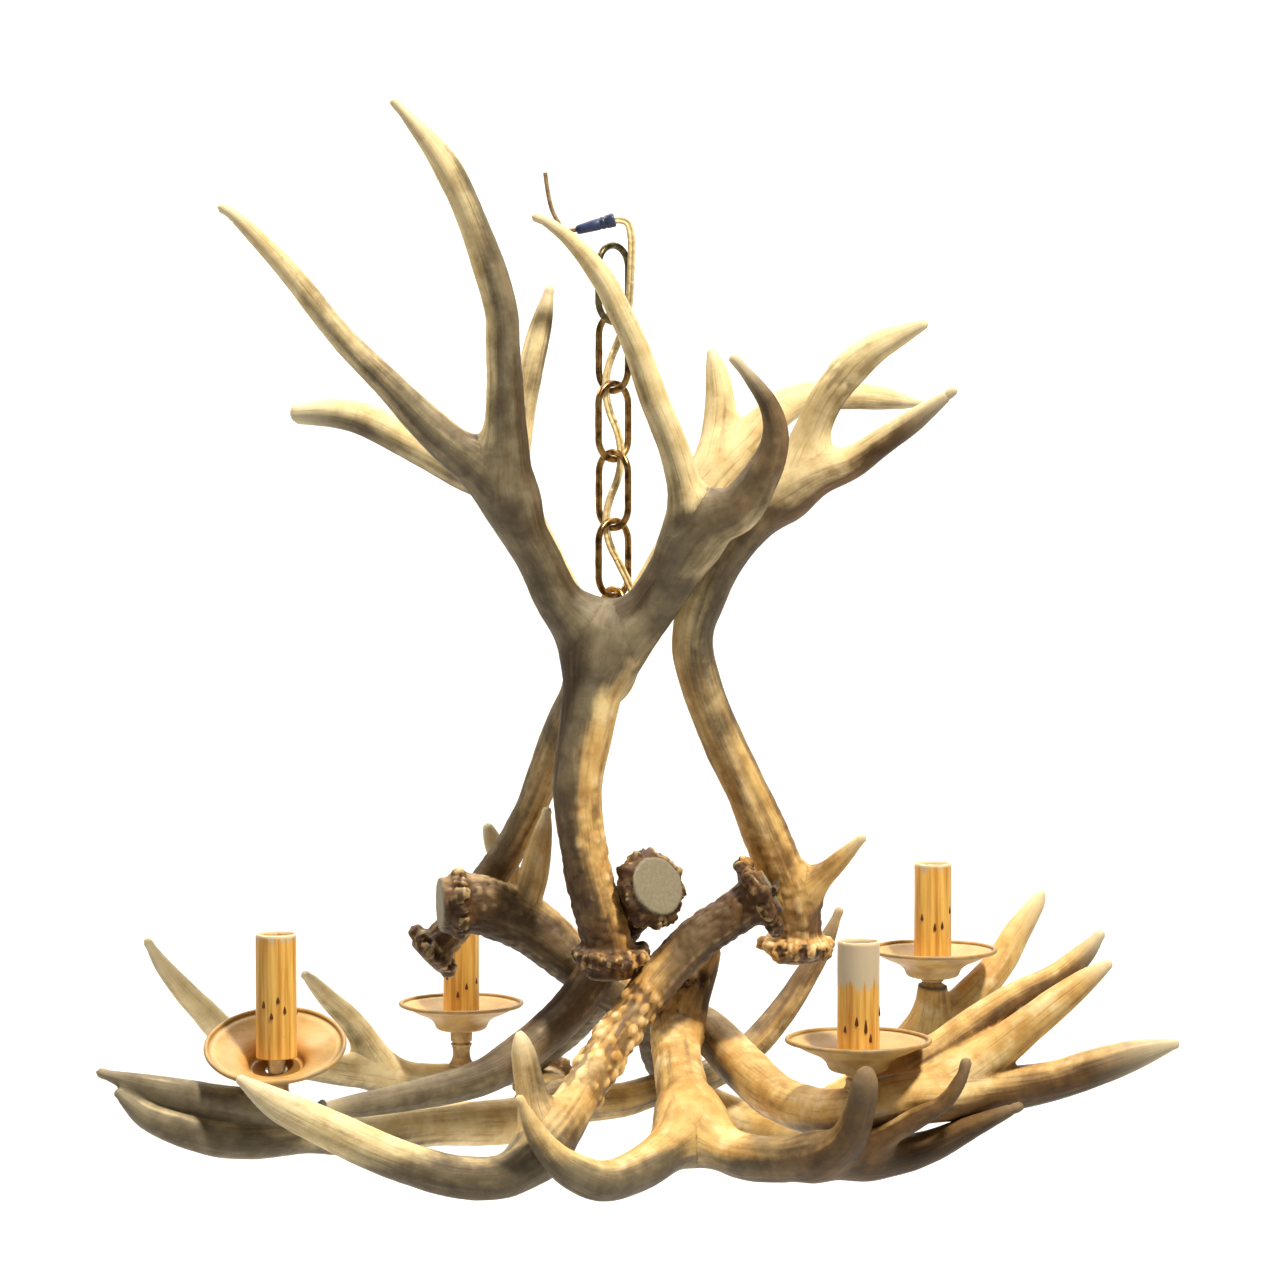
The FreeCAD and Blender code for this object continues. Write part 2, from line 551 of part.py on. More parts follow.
def lock_nut(candle):
    base = cup_floor(candle) + UP * candle[5]
    corner = NUT_FLATS / math.sqrt(3)
    corners = [V(corner * math.cos(math.radians(60 * i)), corner * math.sin(math.radians(60 * i)), 0)
               for i in range(6)]
    nut = Part.Face(Part.makePolygon(corners + corners[:1])).extrude(UP * NUT_HEIGHT)
    nut = nut.cut(Part.makeCylinder(NIPPLE_OUT / 2 + FIT_GAP, NUT_HEIGHT, V(), UP))
    nut.translate(base)
    return nut


def holder_base(candle):
    return cup_floor(candle) + UP * (candle[5] + NUT_HEIGHT)


def lampholder(candle):
    floor = HOLDER_HEIGHT - HOLDER_BORE_DEPTH
    out, bore, thread = HOLDER_WIDTH / 2, HOLDER_BORE / 2, NIPPLE_OUT / 2 + FIT_GAP
    body = ring_solid([(thread, 0), (out - 1.2, 0), (out - 1.2, 7), (out, 8), (out, HOLDER_HEIGHT),
                       (bore, HOLDER_HEIGHT), (bore, floor), (0, floor), (0, NIPPLE_IN_HOLDER + 4),
                       (thread, NIPPLE_IN_HOLDER + 4)])
    body.translate(holder_base(candle))
    return body


def screw_shell(candle):
    out = HOLDER_BORE / 2 - SHELL_GAP
    thread = BULB_THREAD / 2
    top = HOLDER_HEIGHT - 1
    shell = ring_solid([(thread, top - SHELL_HEIGHT), (out, top - SHELL_HEIGHT),
                        (out, top - SHELL_HEIGHT + 1.5), (thread + SHELL_WALL, top - SHELL_HEIGHT + 2.5),
                        (thread + SHELL_WALL, top - 1), (out, top - 0.5), (out, top), (thread, top)])
    shell.translate(holder_base(candle))
    return shell


def contact(candle):
    floor = HOLDER_HEIGHT - HOLDER_BORE_DEPTH
    r = CONTACT_WIDTH / 2
    button = ring_solid([(0, floor), (r, floor), (r, floor + 1), (r * 0.5, floor + 1.5),
                         (r * 0.5, floor + CONTACT_HEIGHT), (0, floor + CONTACT_HEIGHT)])
    button.translate(holder_base(candle))
    return button


def sleeve(candle):
    base = cup_floor(candle) + UP * candle[5]
    tube = Part.makeCylinder(SLEEVE_OUT / 2, SLEEVE_LENGTH, base, UP)
    return tube.cut(Part.makeCylinder(SLEEVE_BORE / 2, SLEEVE_LENGTH, base, UP))


def seat_cut(candle):
    """The flat filed on the antler, and the hole tapped for the nipple."""
    x, y, seat = candle[:3]
    flat = Part.makeCylinder(SEAT_WIDTH / 2, SEAT_CLEAR, V(x, y, FOOT + seat), UP)
    hole = Part.makeCylinder(NIPPLE_OUT / 2 + FIT_GAP, NIPPLE_IN_ANTLER + 1,
                             V(x, y, FOOT + seat - NIPPLE_IN_ANTLER - 1), UP)
    return flat.fuse(hole)


# ---- joining the antlers --------------------------------------------------------------------------
DOWELLED = (
    ("antler_upright_front", "beam", "antler_upright_back", "beam"),
    ("antler_upright_front", "right", "antler_upright_right", "beam"),
    ("antler_upright_front", "beam", "antler_low_left", "beam"),
    ("antler_upright_back", "beam", "antler_low_right", "beam"),
    ("antler_upright_right", "beam", "antler_low_ridged", "beam"),
    ("antler_low_ridged", "beam", "antler_low_front", "left"),
    ("antler_low_front", "beam", "antler_low_right", "beam"),
    ("antler_low_left", "beam", "antler_low_right", "beam"),
    ("antler_low_left", "beam", "antler_low_cross", "tine_upper"),
    ("antler_low_right", "beam", "antler_low_back_right", "beam"),
    ("antler_low_back_left", "beam", "antler_low_back_right", "beam"),
    ("antler_low_back_left", "beam", "antler_low_cross", "beam"),
    ("antler_low_back_right", "beam", "antler_low_cross", "right"),
)


def notched(name, solid, earlier):
    """The antler with a seat cut in it wherever an earlier one lies against it."""
    mine = [spot_pair for points in ANTLERS[name].values() for spot_pair in close_set(points)]
    ring_centre, _ = beam_end(ANTLERS[name]["beam"], BURRS[name][0])
    mine.append((ring_centre, BURRS[name][1] / 2))
    for other in earlier:
        limbs, data = ANTLERS[other], BURRS[other]
        for key, points in limbs.items():
            if skin_gap(mine, close_set(points))[0] < 2 * TOUCH_GAP:
                solid = largest(solid.cut(limb(points, TOUCH_GAP, is_cut(limbs, key))))
        centre, _ = beam_end(limbs["beam"], data[0])
        if skin_gap(mine, [(centre, data[1] / 2 + data[4] / 2)])[0] < 0:
            tools = [burr_ring(limbs["beam"], data, TOUCH_GAP)]
            tools += [knob(limbs["beam"], data, i, 0.0, TOUCH_GAP) for i in range(data[3])]
            solid = largest(solid.cut(tools))
    return solid


def largest(shape):
    return max(shape.Solids, key=lambda piece: piece.Volume)


def dowel(joint, gap=0.0):
    """A dowel across the nearest place of two limbs, or its hole when it is given a gap."""
    first, limb_a, second, limb_b = joint
    apart, a, b, radius = skin_gap(close_set(ANTLERS[first][limb_a]),
                                   close_set(ANTLERS[second][limb_b]))
    way = (b - a).normalize()
    centre = a + way * (radius + apart / 2)
    length = DOWEL_LENGTH + 20 * gap
    if gap == 0.0:
        print("dowel %s - %s: skins %.1f apart" % (first, second, apart))
    return Part.makeCylinder(DOWEL_WIDTH / 2 + gap, length, centre - way * (length / 2), way)


def flex_hole():
    """Where the flex runs into the back upright."""
    bend, end = [V(x, y, z + FOOT) for x, y, z in FLEX_FOOT]
    way = (end - bend).normalize()
    return Part.makeCylinder(FLEX_WIDTH / 2 + FLEX_HOLE_GAP, (end - bend).Length, bend + way * 2, way)


def build():
    pieces, done = {}, []
    for name in ANTLERS:
        solid = notched(name, antler(name), done)
        pieces[name] = solid
        done.append(name)
    for joint in DOWELLED:
        hole = dowel(joint, DOWEL_GAP)
        for name in (joint[0], joint[2]):
            pieces[name] = largest(pieces[name].cut(hole))
    for place, candle in CANDLES.items():
        pieces[CARRIER[place]] = largest(pieces[CARRIER[place]].cut(seat_cut(candle)))
    back = pieces["antler_upright_back"].cut(eye_hole()).cut(flex_hole())
    pieces["antler_upright_back"] = largest(back)

    for place, candle in CANDLES.items():
        for label, make in (("stem", stem), ("drip_pan", drip_pan), ("lampholder", lampholder),
                            ("screw_shell", screw_shell), ("contact", contact), ("sleeve", sleeve)):
            pieces[label + "_" + place] = make(candle)
    pieces["nipples"] = Part.makeCompound([nipple(c) for c in CANDLES.values()])
    pieces["lock_nuts"] = Part.makeCompound([lock_nut(c) for c in CANDLES.values()])
    pieces["dowels"] = Part.makeCompound([dowel(joint) for joint in DOWELLED])

    for index in range(LINK_COUNT):
        pieces["chain_link_%d" % index] = chain_link(index)
    pieces["screw_eye"] = screw_eye()
    pieces["flex"] = cord(flex_points(), FLEX_WIDTH, FLEX_BEND)
    pieces["flex_connector"] = connector()
    pieces["flex_tail"] = cord(tail_points(), TAIL_WIDTH, FLEX_BEND)
    return pieces


os.makedirs("parts", exist_ok=True)
for node, shape in build().items():
    solids = len(shape.Solids)
    print("%-26s valid %s, %d solid%s, %.1f cm3" % (node, shape.isValid(), solids,
                                                   "" if solids == 1 else "s", shape.Volume / 1000))
    shape.exportStep("parts/%s.step" % node)
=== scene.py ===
# %% [markdown]
# # Antler chandelier
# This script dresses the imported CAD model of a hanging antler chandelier. The model is loaded
# as a fixed frame and is never moved. Each antler is grown again here as a fine mesh on the same
# centre lines as the CAD, with webbed forks, grain, pearls and a rough burr, and takes the place
# of its CAD node. The candle lights, the chain and the flex are made in the same way.
#
# The box round the CAD is measured before anything is added, to be set against the dressed
# object's box at the end.

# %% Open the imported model
import bpy
import itertools
import math
import numpy as np
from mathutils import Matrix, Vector


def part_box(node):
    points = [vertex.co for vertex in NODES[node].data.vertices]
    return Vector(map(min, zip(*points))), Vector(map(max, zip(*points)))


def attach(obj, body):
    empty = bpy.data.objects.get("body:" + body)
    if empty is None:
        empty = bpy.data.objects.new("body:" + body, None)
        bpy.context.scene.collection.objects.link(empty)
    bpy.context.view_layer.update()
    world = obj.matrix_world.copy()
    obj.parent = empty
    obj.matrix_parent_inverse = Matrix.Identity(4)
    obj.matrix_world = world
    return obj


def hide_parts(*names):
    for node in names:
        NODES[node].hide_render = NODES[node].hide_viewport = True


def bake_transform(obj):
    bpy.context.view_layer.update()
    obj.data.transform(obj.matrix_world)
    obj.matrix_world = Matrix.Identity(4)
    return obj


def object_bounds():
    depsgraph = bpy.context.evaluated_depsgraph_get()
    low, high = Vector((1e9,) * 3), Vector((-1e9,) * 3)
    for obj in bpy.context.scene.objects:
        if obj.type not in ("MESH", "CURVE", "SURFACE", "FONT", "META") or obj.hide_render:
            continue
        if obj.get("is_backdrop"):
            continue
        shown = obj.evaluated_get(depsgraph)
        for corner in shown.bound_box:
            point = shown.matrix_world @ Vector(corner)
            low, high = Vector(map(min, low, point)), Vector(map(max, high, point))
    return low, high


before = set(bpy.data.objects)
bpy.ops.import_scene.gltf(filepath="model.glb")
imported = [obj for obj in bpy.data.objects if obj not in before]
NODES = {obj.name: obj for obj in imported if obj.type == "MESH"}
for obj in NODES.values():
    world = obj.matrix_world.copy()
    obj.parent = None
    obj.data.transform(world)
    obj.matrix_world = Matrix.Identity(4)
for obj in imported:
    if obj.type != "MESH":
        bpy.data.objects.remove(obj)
CAD_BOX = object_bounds()

# %% [markdown]
# ## Units and levels
# The sizes below are in millimetres, as in the CAD. Blender works in metres, so points are
# multiplied by `MM` only when a mesh is made from them. The antlers' points are written over the
# foot of the chain, because that is where the antlers hang from, and `FOOT` says how far that
# lies under the hang point.

# %% Units and levels
MM = 0.001
FOOT = -199.9
BALANCE = -2.0            # shift of the antlers to the left, so that they hang nearer level
print("the antlers hang", -FOOT, "mm under the hang point")

# %% [markdown]
# ## Repeatable noise
# Bone and wax are never even, so their shapes need small chance swellings. Blender's own texture
# could be baked for this, but a short formula gives the same numbers in every run and on every
# machine. `lattice` gives a value for each cell of a grid. `noise` blends them smoothly and runs
# from -1 to 1. `bumps` puts a rounded pearl of height 0 to 1 in each cell.

# %% Noise from a grid of cells
def lattice(cell, seed):
    """A repeatable value from 0 to 1 for each whole-number cell."""
    n = cell[:, 0] * 73856093 ^ cell[:, 1] * 19349663 ^ cell[:, 2] * 83492791 ^ seed * 40503
    n = (n ^ (n >> 13)) * 1274126177 & 0x7FFFFFFF
    n = (n ^ (n >> 15)) * 668265263 & 0x7FFFFFFF
    return ((n ^ (n >> 16)) & 0xFFFF) / 65535.0


def noise(points, seed):
    """Smooth noise from -1 to 1, one cell of the grid to each unit of length."""
    base = np.floor(points)
    ease = points - base
    ease = ease * ease * (3 - 2 * ease)
    base = base.astype(np.int64)
    total = np.zeros(len(points))
    for corner in itertools.product((0, 1), repeat=3):
        weight = np.ones(len(points))
        for axis in range(3):
            weight *= ease[:, axis] if corner[axis] else 1 - ease[:, axis]
        total += weight * lattice(base + np.array(corner), seed)
    return total * 2 - 1


print("noise at three points:", noise(np.array([(0.2, 0, 0), (0.5, 0, 0), (0.8, 0, 0)]), 1).round(2))

# %% Rounded pearls
def bumps(points, seed):
    """Round heights from 0 to 1, one in each cell, with its place and size left to chance."""
    base = np.floor(points).astype(np.int64)
    height = np.zeros(len(points))
    for offset in itertools.product((-1, 0, 1), repeat=3):
        cell = base + np.array(offset)
        centre = cell + np.stack([0.2 + 0.6 * lattice(cell, seed + k) for k in range(3)], 1)
        size = 0.35 + 0.4 * lattice(cell, seed + 3)
        height = np.maximum(height, size * (1 - ((points - centre) ** 2).sum(1) / size ** 2))
    return np.sqrt(np.clip(height, 0, 1))


print("pearls at two points:", bumps(np.array([(0.5, 0.5, 0.5), (1.0, 1.0, 1.0)]), 1).round(2))

# %% [markdown]
# ## Making and reading a mesh
# A piece is a mesh that stands for CAD nodes. The meshes are made by `new_piece`, which gives each its
# material and hides the CAD nodes it replaces. When a body is named, it also sets the piece to ride on that
# body of the mechanism. Points are read and written all at once as arrays, which is much faster than a
# loop.

# %% Make a piece
def new_piece(name, verts, faces, material, body, nodes=(), slot=None):
    mesh = bpy.data.meshes.new(name)
    mesh.from_pydata(np.asarray(verts).tolist(), [], np.asarray(faces).tolist()
                     if isinstance(faces, np.ndarray) else faces)
    mesh.validate()
    mesh.update()
    mesh.polygons.foreach_set("use_smooth", [True] * len(mesh.polygons))
    mesh.materials.append(material)
    piece = bpy.data.objects.new(name, mesh)
    bpy.context.scene.collection.objects.link(piece)
    if body:
        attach(piece, body)
    if nodes:
        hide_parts(*nodes)
    return piece


def point_values(piece, **values):
    """Stores a value per vertex, for the material to read."""
    for name, data in values.items():
        data = np.asarray(data, np.float32)
        if data.ndim == 2:
            layer = piece.data.attributes.new(name, "FLOAT_VECTOR", "POINT")
            layer.data.foreach_set("vector", data.ravel())
        else:
            layer = piece.data.attributes.new(name, "FLOAT", "POINT")
            layer.data.foreach_set("value", data)


# %% Read and change a mesh
def coordinates(piece):
    co = np.empty(len(piece.data.vertices) * 3, np.float32)
    piece.data.vertices.foreach_get("co", co)
    return co.reshape(-1, 3).astype(float)


def normals(piece):
    no = np.empty(len(piece.data.vertices) * 3, np.float32)
    piece.data.vertices.foreach_get("normal", no)
    return no.reshape(-1, 3).astype(float)


def put_back(piece, co):
    piece.data.vertices.foreach_set("co", np.asarray(co, np.float32).ravel())
    piece.data.update()


def edge_list(piece):
    edges = np.empty(len(piece.data.edges) * 2, np.int32)
    piece.data.edges.foreach_get("vertices", edges)
    return edges.reshape(-1, 2)


def apply_modifier(piece, kind, **settings):
    """Adds one modifier and keeps its result as the mesh."""
    modifier = piece.modifiers.new(kind.lower(), kind)
    for key, value in settings.items():
        setattr(modifier, key, value)
    depsgraph = bpy.context.evaluated_depsgraph_get()
    mesh = bpy.data.meshes.new_from_object(piece.evaluated_get(depsgraph))
    piece.modifiers.clear()
    old = piece.data
    mesh.name = old.name
    piece.data = mesh
    bpy.data.meshes.remove(old)
    return piece


print("mesh readers ready")

# %% [markdown]
# ## Swept and turned shapes
# Wire, flex and the rough skin of an antler are a round section swept along a line: `tube`. The
# candle sleeves, pans and stems were spun or turned, and so they are a profile turned round an
# upright axis: `turned`. Blender's curve bevel and Screw modifier would do the same. Plain arrays
# were chosen, because the wall can then be changed point by point.

# %% Sweep a round section along a line
def directions(line):
    """Unit tangents along a line of points."""
    way = np.gradient(line, axis=0)
    return way / np.linalg.norm(way, axis=1)[:, None]


def carried_sides(way, first=(0.0, 1.0, 0.0)):
    """A side vector at each point, carried along without twisting."""
    side = np.array(first)
    sides = []
    for w in way:
        side = side - w * side.dot(w)
        side = side / np.linalg.norm(side)
        sides.append(side)
    return np.array(sides)


def rings_to_faces(rings, sides, closed=False, caps=True):
    """Quads between rings of points, with end caps."""
    faces = []
    span = rings if closed else rings - 1
    for i in range(span):
        j = (i + 1) % rings
        for k in range(sides):
            m = (k + 1) % sides
            faces.append((i * sides + k, i * sides + m, j * sides + m, j * sides + k))
    if caps and not closed:
        faces.append(tuple(range(sides))[::-1])
        faces.append(tuple((rings - 1) * sides + k for k in range(sides)))
    return faces


def tube(line, radius, sides=16, closed=False, first=(0.0, 1.0, 0.0)):
    line = np.asarray(line, float)
    radius = np.broadcast_to(np.asarray(radius, float), (len(line),))
    if closed:
        way = np.roll(line, -1, 0) - np.roll(line, 1, 0)
        way /= np.linalg.norm(way, axis=1)[:, None]
    else:
        way = directions(line)
    side = carried_sides(way, first)
    other = np.cross(way, side)
    angle = np.arange(sides) * 2 * math.pi / sides
    ring = side[:, None] * np.cos(angle)[None, :, None] + other[:, None] * np.sin(angle)[None, :, None]
    verts = (line[:, None] + ring * radius[:, None, None]).reshape(-1, 3)
    return verts, rings_to_faces(len(line), sides, closed)


print("a tube of two rings has", len(tube([(0, 0, 0), (0, 0, 1)], 1.0, 8)[0]), "points")

# %% Turn a profile round an upright axis
def turned(profile, sides=72):
    """A closed turned piece from a closed loop of (radius, height)."""
    profile = np.asarray(profile, float)
    angle = np.arange(sides) * 2 * math.pi / sides
    verts = np.stack([profile[:, None, 0] * np.cos(angle), profile[:, None, 0] * np.sin(angle),
                      np.repeat(profile[:, 1:2], sides, 1)], 2).reshape(-1, 3)
    return verts, rings_to_faces(len(profile), sides, closed=True)


def rounded(profile, times=2):
    """Cuts the corners of a closed profile, so that its edges catch the light."""
    profile = np.asarray(profile, float)
    for _ in range(times):
        after = np.roll(profile, -1, 0)
        profile = np.stack([profile * 0.75 + after * 0.25, profile * 0.25 + after * 0.75], 1)
        profile = profile.reshape(-1, 2)
    return profile


def joined(*parts):
    """Several (verts, faces) pairs as one."""
    verts, faces, count = [], [], 0
    for v, f in parts:
        verts.append(np.asarray(v, float))
        faces += [tuple(i + count for i in face) for face in f]
        count += len(v)
    return np.vstack(verts), faces


def spin(degrees):
    """The matrix of a turn about the upright axis."""
    angle = math.radians(degrees)
    return np.array([[math.cos(angle), -math.sin(angle), 0], [math.sin(angle), math.cos(angle), 0],
                     [0, 0, 1]])


print("a quarter turn takes (1, 0, 0) to", (spin(90) @ (1, 0, 0)).round(3))

# %% [markdown]
# ## Smooth lines
# Few points are enough to describe a limb or a pan's side if a smooth line passes through all of
# them. A chain of cubic curves does, and it carries any number of columns, so an antler's width
# is smoothed along with its place.

# %% A smooth line through a few points
def smooth_line(points, counts):
    """A dense line through all the points, with so many samples in each stretch."""
    out = []
    for i in range(len(points) - 1):
        a, b = points[i], points[i + 1]
        before, after = points[max(i - 1, 0)], points[min(i + 2, len(points) - 1)]
        t = (np.arange(counts[i]) / counts[i])[:, None]
        out.append(0.5 * (2 * a + (b - before) * t + (2 * before - 5 * a + 4 * b - after) * t * t
                          + (3 * a - before - 3 * b + after) * t ** 3))
    return np.vstack(out + [points[-1:]])


print("a line of three points grows to", len(smooth_line(np.eye(3), [4, 4])))

# %% [markdown]
# ## Shader helpers
# A material is a tree of nodes. Drawn by hand each node is a few clicks; in a script each would
# be several lines. These helpers make a node in one line and take either a plain value or another
# node's output, so that a material below reads like a recipe.

# %% Make one node
def node(tree, kind, inputs=(), **settings):
    made = tree.nodes.new(kind)
    for key, value in settings.items():
        setattr(made, key, value)
    for key, value in dict(inputs).items():
        if isinstance(value, bpy.types.NodeSocket):
            tree.links.new(value, made.inputs[key])
        else:
            made.inputs[key].default_value = value
    return made


def math_node(tree, operation, a, b=0.0, clamp=False):
    return node(tree, "ShaderNodeMath", {0: a, 1: b}, operation=operation, use_clamp=clamp).outputs[0]


def plus(tree, a, b):
    return math_node(tree, "ADD", a, b)


def less(tree, a, b):
    return math_node(tree, "SUBTRACT", a, b)


def times(tree, a, b, clamp=False):
    return math_node(tree, "MULTIPLY", a, b, clamp)


def mix_colour(tree, share, a, b, blend="MIX"):
    made = node(tree, "ShaderNodeMix", data_type="RGBA", blend_type=blend)
    for key, value in ((0, share), (6, a), (7, b)):
        if isinstance(value, bpy.types.NodeSocket):
            tree.links.new(value, made.inputs[key])
        else:
            made.inputs[key].default_value = value
    return made.outputs[2]


def ramp(tree, value, low, high):
    """A soft step from 0 to 1 while the value goes from low to high."""
    made = node(tree, "ShaderNodeMapRange", {"Value": value, "From Min": low, "From Max": high},
                interpolation_type="SMOOTHSTEP")
    return made.outputs["Result"]


def rgb(r, g, b):
    return (r, g, b, 1.0)


print("node helpers ready")

# %% Textures, coordinates and bumps
def stretched(tree, vector, scale):
    return node(tree, "ShaderNodeMapping", {"Vector": vector, "Scale": scale}).outputs["Vector"]


def noise_node(tree, vector, scale=1.0, detail=3.0, rough=0.55):
    return node(tree, "ShaderNodeTexNoise", {"Vector": vector, "Scale": scale, "Detail": detail,
                                             "Roughness": rough}).outputs["Fac"]


def attribute(tree, name, output="Fac"):
    return node(tree, "ShaderNodeAttribute", attribute_name=name).outputs[output]


def place_vector(tree):
    """Where the point is on the object at rest, in metres."""
    return node(tree, "ShaderNodeTexCoord").outputs["Object"]


def set_bump(tree, shader, height, strength, distance):
    """Roughens the light on the surface, for detail finer than the mesh."""
    bump = node(tree, "ShaderNodeBump", {"Strength": strength, "Distance": distance, "Height": height})
    tree.links.new(bump.outputs["Normal"], shader.inputs["Normal"])


def new_material(name, **surface):
    material = bpy.data.materials.new(name)
    material.use_nodes = True
    tree = material.node_tree
    shader = tree.nodes["Principled BSDF"]
    for key, value in surface.items():
        shader.inputs[key.replace("_", " ")].default_value = value
    return material, tree, shader


print("texture helpers ready")

# %% [markdown]
# ## Node groups
# Long fibres, soft blotches, grime with painted shade in the hollows and a cloudy passage between two tones
# take several nodes each. The blotches and the two tones come back in several materials. So each effect is
# a node group with named sockets, built once and placed with its own values. A group gives only values and
# colours, and the shader stays in the material.

# %% Groups and how to place them
def new_group(name, inputs, outputs):
    """A node group with named sockets, and its own input and output nodes."""
    tree = bpy.data.node_groups.new(name, "ShaderNodeTree")
    for label, kind in inputs:
        tree.interface.new_socket(label, in_out="INPUT", socket_type=kind)
    for label, kind in outputs:
        tree.interface.new_socket(label, in_out="OUTPUT", socket_type=kind)
    return tree, tree.nodes.new("NodeGroupInput"), tree.nodes.new("NodeGroupOutput")


def use_group(tree, group, inputs):
    made = tree.nodes.new("ShaderNodeGroup")
    made.node_tree = group
    for key, value in inputs.items():
        if isinstance(value, bpy.types.NodeSocket):
            tree.links.new(value, made.inputs[key])
        else:
            made.inputs[key].default_value = value
    return made


FLOAT, VECTOR, COLOUR = "NodeSocketFloat", "NodeSocketVector", "NodeSocketColor"
print("group helpers ready")

# %% Fibres and blotches
# long streaks along the third coordinate, at two widths
FIBRES, fin, fout = new_group("fibres", [("Grain", VECTOR)], [("Fine", FLOAT), ("Broad", FLOAT)])
for label, scale, detail in (("Fine", (620, 620, 26), 4), ("Broad", (170, 170, 9), 3)):
    streaks = noise_node(FIBRES, stretched(FIBRES, fin.outputs["Grain"], scale), 1, detail, 0.6)
    FIBRES.links.new(streaks, fout.inputs[label])

# soft patches of any size, pushed to a mask
BLOTCH, fin, fout = new_group("blotches", [("Vector", VECTOR), ("Scale", FLOAT), ("Amount", FLOAT)],
                              [("Mask", FLOAT)])
blot = noise_node(BLOTCH, fin.outputs["Vector"], fin.outputs["Scale"], 4, 0.62)
edge = less(BLOTCH, 0.72, times(BLOTCH, fin.outputs["Amount"], 0.4))
BLOTCH.links.new(times(BLOTCH, less(BLOTCH, blot, edge), 9.0, clamp=True), fout.inputs["Mask"])
print("node groups:", [g.name for g in bpy.data.node_groups])

# %% Grime with painted shade, and two tones
# a darker colour laid in where a height is low: dirt, and painted shade in the hollows
GRIME_AND_SHADE, fin, fout = new_group("grime_and_shade", [("Colour", COLOUR), ("Dirt_and_shade", COLOUR), ("Height", FLOAT),
                                       ("Amount", FLOAT)], [("Colour", COLOUR)])
low = ramp(GRIME_AND_SHADE, fin.outputs["Height"], 0.55, 0.12)
GRIME_AND_SHADE.links.new(mix_colour(GRIME_AND_SHADE, times(GRIME_AND_SHADE, low, fin.outputs["Amount"], clamp=True),
                           fin.outputs["Colour"], fin.outputs["Dirt_and_shade"]), fout.inputs["Colour"])

# a cloudy passage from a dark tone to a light one; Edge is where the dark tone begins to give way
TWO_TONE, fin, fout = new_group("two_tone", [("Vector", VECTOR), ("Scale", FLOAT), ("Edge", FLOAT),
                                             ("Dark", COLOUR), ("Light", COLOUR)],
                                [("Colour", COLOUR), ("Cloud", FLOAT)])
cloud = noise_node(TWO_TONE, fin.outputs["Vector"], fin.outputs["Scale"], 4.0, 0.6)
share = ramp(TWO_TONE, cloud, fin.outputs["Edge"], less(TWO_TONE, 1.0, fin.outputs["Edge"]))
TWO_TONE.links.new(mix_colour(TWO_TONE, share, fin.outputs["Dark"], fin.outputs["Light"]),
                   fout.inputs["Colour"])
TWO_TONE.links.new(cloud, fout.inputs["Cloud"])


def two_tone(tree, place, scale, dark, light, edge=0.3):
    """A cloudy colour, and the cloud itself for the gloss."""
    made = use_group(tree, TWO_TONE, {"Vector": place, "Scale": scale, "Edge": edge, "Dark": dark,
                                      "Light": light})
    return made.outputs["Colour"], made.outputs["Cloud"]


print("node groups:", [g.name for g in bpy.data.node_groups])

# %% [markdown]
# ## Bone: weathered grey against golden, with painted sun and shade
# A shed antler is bone that has lain outdoors. Some stretches are weathered grey or brown, others keep a
# warm gold, and the limbs turn cream towards the top and the left. The grey also stands for painted cast
# shadow and the gold for painted sunlight, and where the tone runs below zero it paints deeper shade. A
# painted texture could show this, but it would have to be unwrapped over every fork. Here the growing code
# stores on each vertex how golden the place is (`tone`), and the material breaks that up with noise, so the
# border between the two is ragged and a little streaked.

